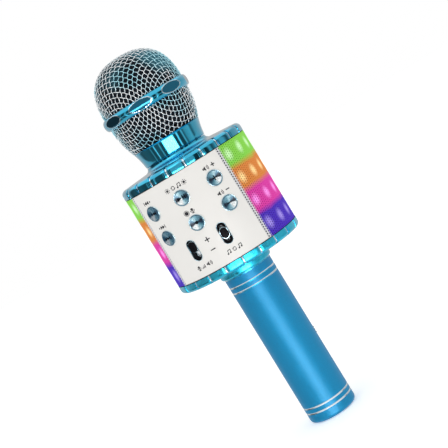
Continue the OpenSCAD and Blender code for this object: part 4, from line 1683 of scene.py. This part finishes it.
def build_prints():
    above = 7.1 * MM
    spots = {node: middle(node) for node in BUTTON_NODES}
    back = [arrow(-1.2, 0, -1.5, 1.9), arrow(0.2, 0, -1.5, 1.9), bar(-2.3, 0, 0.35, 1.9)]
    onward = [arrow(-0.2, 0, 1.5, 1.9), arrow(1.2, 0, 1.5, 1.9), bar(2.3, 0, 0.35, 1.9)]
    target = [disc(-2.0, 0, 0.95)] + arcs(-2.0, 0, 1.3, 0.2, 0, 360, 20)
    labels = {
        "prev_button": back + [disc(1.9, 0, 0.4)],
        "next_button": onward + [disc(-1.9, 0, 0.4)],
        "play_button": lamp(-4.4, 0) + swirl(-1.2, 0) + notes(1.8, 0) + lamp(4.8, 0),
        "record_button": target + microphone(1.2, 0),
        "volume_up_button": loudspeaker(-2.0, 0) + plus(2.6, 0, 2.0, 0.5),
        "volume_down_button": loudspeaker(-2.0, 0) + [bar(2.6, 0, 2.0, 0.5)],
    }
    for node, shapes in labels.items():
        spot = spots[node]
        marks = scaled(shapes, LABEL_SCALE)
        printed("print_" + node, marks, azimuth_of(spot), spot.z + above, INK)
    wells = [middle(node) for node in WELL_NODES]
    below = 10.3 * MM
    voice = microphone(-3.0, 0) + levels(-1.1, 0) + loudspeaker(2.9, 0)
    voice = scaled(voice, SLIDER_LABEL_SCALE)
    printed("print_mic_volume", voice, azimuth_of(wells[0]), wells[0].z - below, INK)
    remix = scaled(notes(-3.0, 0) + swirl(0.2, 0) + notes(3.2, 0), SLIDER_LABEL_SCALE)
    printed("print_remix", remix, azimuth_of(wells[1]), wells[1].z - below, INK)
    printed("print_plus", plus(0, 0, 3.2, 0.62), 0, wells[0].z + 1.9 * MM, INK)
    printed("print_minus", [bar(0, 0, 3.0, 0.62)], 0, wells[0].z - 4.5 * MM, INK)
    symbols = {
        "prev_button": [arrow(0.0, 0, -1.6, 2.0), arrow(1.6, 0, -1.6, 2.0), bar(-1.2, 0, 0.5, 2.0)],
        "next_button": [arrow(-1.6, 0, 1.6, 2.0), arrow(0.0, 0, 1.6, 2.0), bar(1.2, 0, 0.5, 2.0)],
        "play_button": [arrow(-1.5, 0, 2.2, 2.6), bar(0.7, 0, 0.65, 2.6), bar(2.0, 0, 0.65, 2.6)],
        "record_button": [disc(0, 0, 1.0)],
        "volume_up_button": plus(0, 0, 3.0, 0.6),
        "volume_down_button": [bar(0, 0, 3.0, 0.6)],
    }
    for node, shapes in symbols.items():
        spot = spots[node]
        printed("symbol_" + node, shapes, azimuth_of(spot), spot.z, SYMBOL, node)


# ------------------------------------------------------------------ handle


def cut_line_points(z, depth=0.25 * MM):
    return [(HANDLE_R, z - 2 * depth), (HANDLE_R - depth, z), (HANDLE_R, z + 2 * depth)]


def shine_cut_lines(obj, heights):
    """Gives the sloping outer faces near each cut line bare bright metal."""
    reach, depth = 0.55 * MM, 0.3 * MM
    obj.data.materials.append(CUT_METAL)
    for poly in obj.data.polygons:
        c = poly.center
        r = math.hypot(c.x, c.y)
        slope = abs(poly.normal.z)
        near = any(abs(c.z - z) < reach for z in heights)
        if near and 0.2 < slope < 0.97 and r > HANDLE_R - depth:
            poly.material_index = 1


def build_handle():
    bore = HANDLE_R - 2 * MM
    lines = [10.4 * MM, 91.3 * MM, 94.9 * MM]
    chamfer = 0.25 * MM
    outline = [(bore, TUBE_LOW), (HANDLE_R - chamfer, TUBE_LOW), (HANDLE_R, TUBE_LOW + 2 * chamfer)]
    for z in lines:
        outline += cut_line_points(z)
    outline += [(HANDLE_R, TUBE_TOP - 2 * chamfer), (HANDLE_R - chamfer, TUBE_TOP), (bore, TUBE_TOP)]
    tube = spin("handle_barrel", outline, 128, sharp=20)
    tube.data.materials.append(MATERIALS["handle_blue"])
    shine_cut_lines(tube, lines + [TUBE_LOW, TUBE_TOP])
    knob = middle("switch_knob")
    half_travel = 1.5 * MM
    slot_w, slot_h = 4.4 * MM, 9.6 * MM
    cutter = extruded("cutter", bar(0, 0, slot_w, slot_h), 9 * MM, 20 * MM)
    cutter.data.materials.append(CUT_METAL)
    placed(cutter, outward(azimuth_of(knob), knob.z + half_travel))
    tube = cut(tube, [cutter])
    smooth(tube, 20)
    finished(tube, "handle_tube")
    foot = 2.5 * MM
    outline = [(0, 0)]
    steps = 8
    for k in range(steps + 1):
        b = math.pi / 2 * k / steps
        outline.append((HANDLE_R - foot + foot * math.sin(b), foot - foot * math.cos(b)))
    plug_r, plug_top, floor = bore - 2 * MM, 12 * MM, 3 * MM
    outline += [(HANDLE_R, TUBE_LOW - 2 * chamfer), (HANDLE_R - chamfer, TUBE_LOW), (bore, TUBE_LOW)]
    outline += [(bore, plug_top), (plug_r, plug_top), (plug_r, floor), (0, floor)]
    cap = spin("end_cap_shell", outline, 128, sharp=20)
    cap.data.materials.append(MATERIALS["handle_blue"])
    shine_cut_lines(cap, [TUBE_LOW])
    finished(cap, "end_cap")


def build_collar():
    base, top = low("handle_collar").z, high("handle_collar").z
    inner = 11 * MM
    tube_r = HANDLE_R - 2 * MM
    neck = 15 * MM
    start = TUBE_TOP + 0.1 * MM
    outline = rounded(
        [
            (inner, base, 0),
            (tube_r, base, 0.2 * MM),
            (tube_r, start, 0),
            (COLLAR_R, start, 1.3 * MM),
            (COLLAR_R, BODY_LOW, 0.2 * MM),
            (neck, BODY_LOW, 0),
            (neck, top, 0.2 * MM),
            (inner, top, 0),
        ]
    )
    finished(spin("collar_ring", outline, 160), "handle_collar", material=SOFT_CHROME)


# ------------------------------------------------------------------ carried-over CAD nodes


def finish_cad_nodes():
    """Gives every CAD node the finish of its material, for those that stay in the picture."""
    for node, obj in frame["nodes"].items():
        obj.data.materials.clear()
        obj.data.materials.append(MATERIALS[SLOTS[node]])


# ------------------------------------------------------------------ stage, lights and camera


def build_stage():
    floor = new_object("floor", [(-3, -3, 0), (3, -3, 0), (3, 3, 0), (-3, 3, 0)], [[0, 1, 2, 3]])
    f = Finish("floor_paint", (0.93, 0.93, 0.93), 0.0, 0.7, emission_strength=0.3)
    f.set("Emission Color", (1, 1, 1, 1))
    f.vary((0.93, 0.93, 0.93), 0.01, 3)
    floor.visible_glossy = False
    floor.data.materials.append(f.material)


BOX = 8.0
# Brightness of the studio in reflections, as (azimuth from the front of the view, brightness)
STUDIO = [
    (-180, 0.5),
    (-134, 0.6),
    (-118, 0.08),
    (-104, 0.12),
    (-90, 0.12),
    (-76, 0.08),
    (-73, 0.5),
    (-70, 0.06),
    (-60, 0.08),
    (-57.5, 1.8),
    (-55, 0.12),
    (-40, 0.10),
    (-37, 0.8),
    (-34, 0.08),
    (-24, 0.05),
    (-21, BOX),
    (17, BOX),
    (20, 0.05),
    (30, 0.05),
    (33, 2.0),
    (37, 0.06),
    (48, 0.05),
    (52, 0.8),
    (57, 0.08),
    (64, 0.45),
    (84, 0.65),
    (92, 0.10),
    (104, 0.5),
    (140, 0.6),
    (180, 0.5),
]


def build_world():
    """White to the camera, plain soft light on the object, and a banded studio in reflections.

    The studio has a pale ceiling, a pale floor and a narrow pale band below table height.
    """
    high_limit, low_glow = 0.6, 0.04
    band_level, ceiling_level, floor_level, soft_level = 0.6, 1.0, 0.72, 0.90
    world = bpy.data.worlds.new("studio")
    world.use_nodes = True
    bpy.context.scene.world = world
    t = Nodes(world.node_tree)
    world.node_tree.nodes.clear()
    way = t.add("ShaderNodeTexCoord").outputs["Generated"]
    x, y, z = t.add("ShaderNodeSeparateXYZ", {"Vector": way}).outputs
    turn = t.math("DEGREES", t.math("ARCTAN2", x, t.times(y, -1.0)))
    offset = t.minus(turn, VIEW_AZIMUTH)
    place = t.math("FRACT", t.plus(t.divided(offset, 360.0), 0.5))
    brightness = t.ramp(place, *[((az + 180) / 360, (value,) * 3) for az, value in STUDIO])
    slope = t.math("DEGREES", t.math("ARCSINE", z))
    # The bright box ends just above table height: higher up nothing passes this limit
    limit = t.minus(BOX, t.times(t.smoothstep(slope, -0.6, 0.6), BOX - high_limit))
    brightness = t.math("MINIMUM", brightness, limit)
    below = t.smoothstep(slope, -3.0, -9.0)
    brightness = t.plus(brightness, t.times(below, low_glow))
    band = t.times(t.smoothstep(slope, -12.0, -10.0), t.smoothstep(slope, -2.6, -3.3))
    for share, value in (
        (band, band_level),
        (t.smoothstep(slope, 22.0, 36.0), ceiling_level),
        (t.smoothstep(slope, -30.0, -38.0), floor_level),
    ):
        brightness = t.between(share, brightness, value)
    paths = t.add("ShaderNodeLightPath")
    shiny = t.add("ShaderNodeBackground")
    t.put(shiny.inputs["Color"], brightness)
    soft = t.add("ShaderNodeBackground", {"Color": (1, 1, 1, 1), "Strength": soft_level})
    white = t.add("ShaderNodeBackground", {"Color": (1, 1, 1, 1), "Strength": 1.0})
    light = soft.outputs[0]
    for ray, other in (("Is Glossy Ray", shiny), ("Is Camera Ray", white)):
        mix = t.add("ShaderNodeMixShader")
        for socket, value in zip(mix.inputs, (paths.outputs[ray], light, other.outputs[0])):
            t.put(socket, value)
        light = mix.outputs[0]
    end = t.add("ShaderNodeOutputWorld")
    t.put(end.inputs[0], light)


def area_light(name, azimuth, elevation, distance, size, power):
    """A square lamp that faces the middle of the panel from a distance."""
    data = bpy.data.lights.new(name, "AREA")
    data.size = size
    data.energy = power
    obj = in_scene(name, data)
    a, e = math.radians(azimuth), math.radians(elevation)
    target = Vector((0, 0, (PANEL_LOW + PANEL_TOP) / 2))
    away = Vector((math.sin(a) * math.cos(e), -math.cos(a) * math.cos(e), math.sin(e)))
    obj.location = target + away * distance
    obj.rotation_mode = "QUATERNION"
    obj.rotation_quaternion = away.to_track_quat("Z", "Y")


def build_lights():
    area_light("key", VIEW_AZIMUTH - 30, 50, 1.2, 0.6, 1.0)


def build_camera():
    """Looks at the panel from a little to its right and above, tilted so the head leans left."""
    sensor, focal = 36, 97.95536  # mm
    distance, height = 715.6 * MM, 188.2 * MM
    pitch, roll, aside = math.radians(4.69), math.radians(-31.5), 1.94 * MM
    a = math.radians(VIEW_AZIMUTH)
    right = Vector((math.cos(a), math.sin(a), 0))
    ahead = Vector((-math.sin(a) * math.cos(pitch), math.cos(a) * math.cos(pitch), -math.sin(pitch)))
    up = right.cross(ahead)
    data = bpy.data.cameras.new("camera")
    data.lens = focal
    data.sensor_width = sensor
    data.clip_start = 0.01
    camera = in_scene("camera", data)
    turn = Matrix((right, up, -ahead)).transposed().to_4x4() @ Matrix.Rotation(roll, 4, "Z")
    spot = Vector((distance * math.sin(a), -distance * math.cos(a), height)) + right * aside
    camera.matrix_world = Matrix.Translation(spot) @ turn
    bpy.context.scene.camera = camera


# ------------------------------------------------------------------ build

build_camera()
finish_cad_nodes()
build_grilles()
build_foam()
build_ring()
build_neck()
build_caps()
build_front_panel()
build_rear_panel()
build_side_skins()
build_buttons()
build_bezels()
build_wells()
build_slider_knobs()
build_prints()
build_handle()
build_collar()
build_stage()
build_world()
build_lights()
bpy.context.scene.view_settings.view_transform = "Standard"
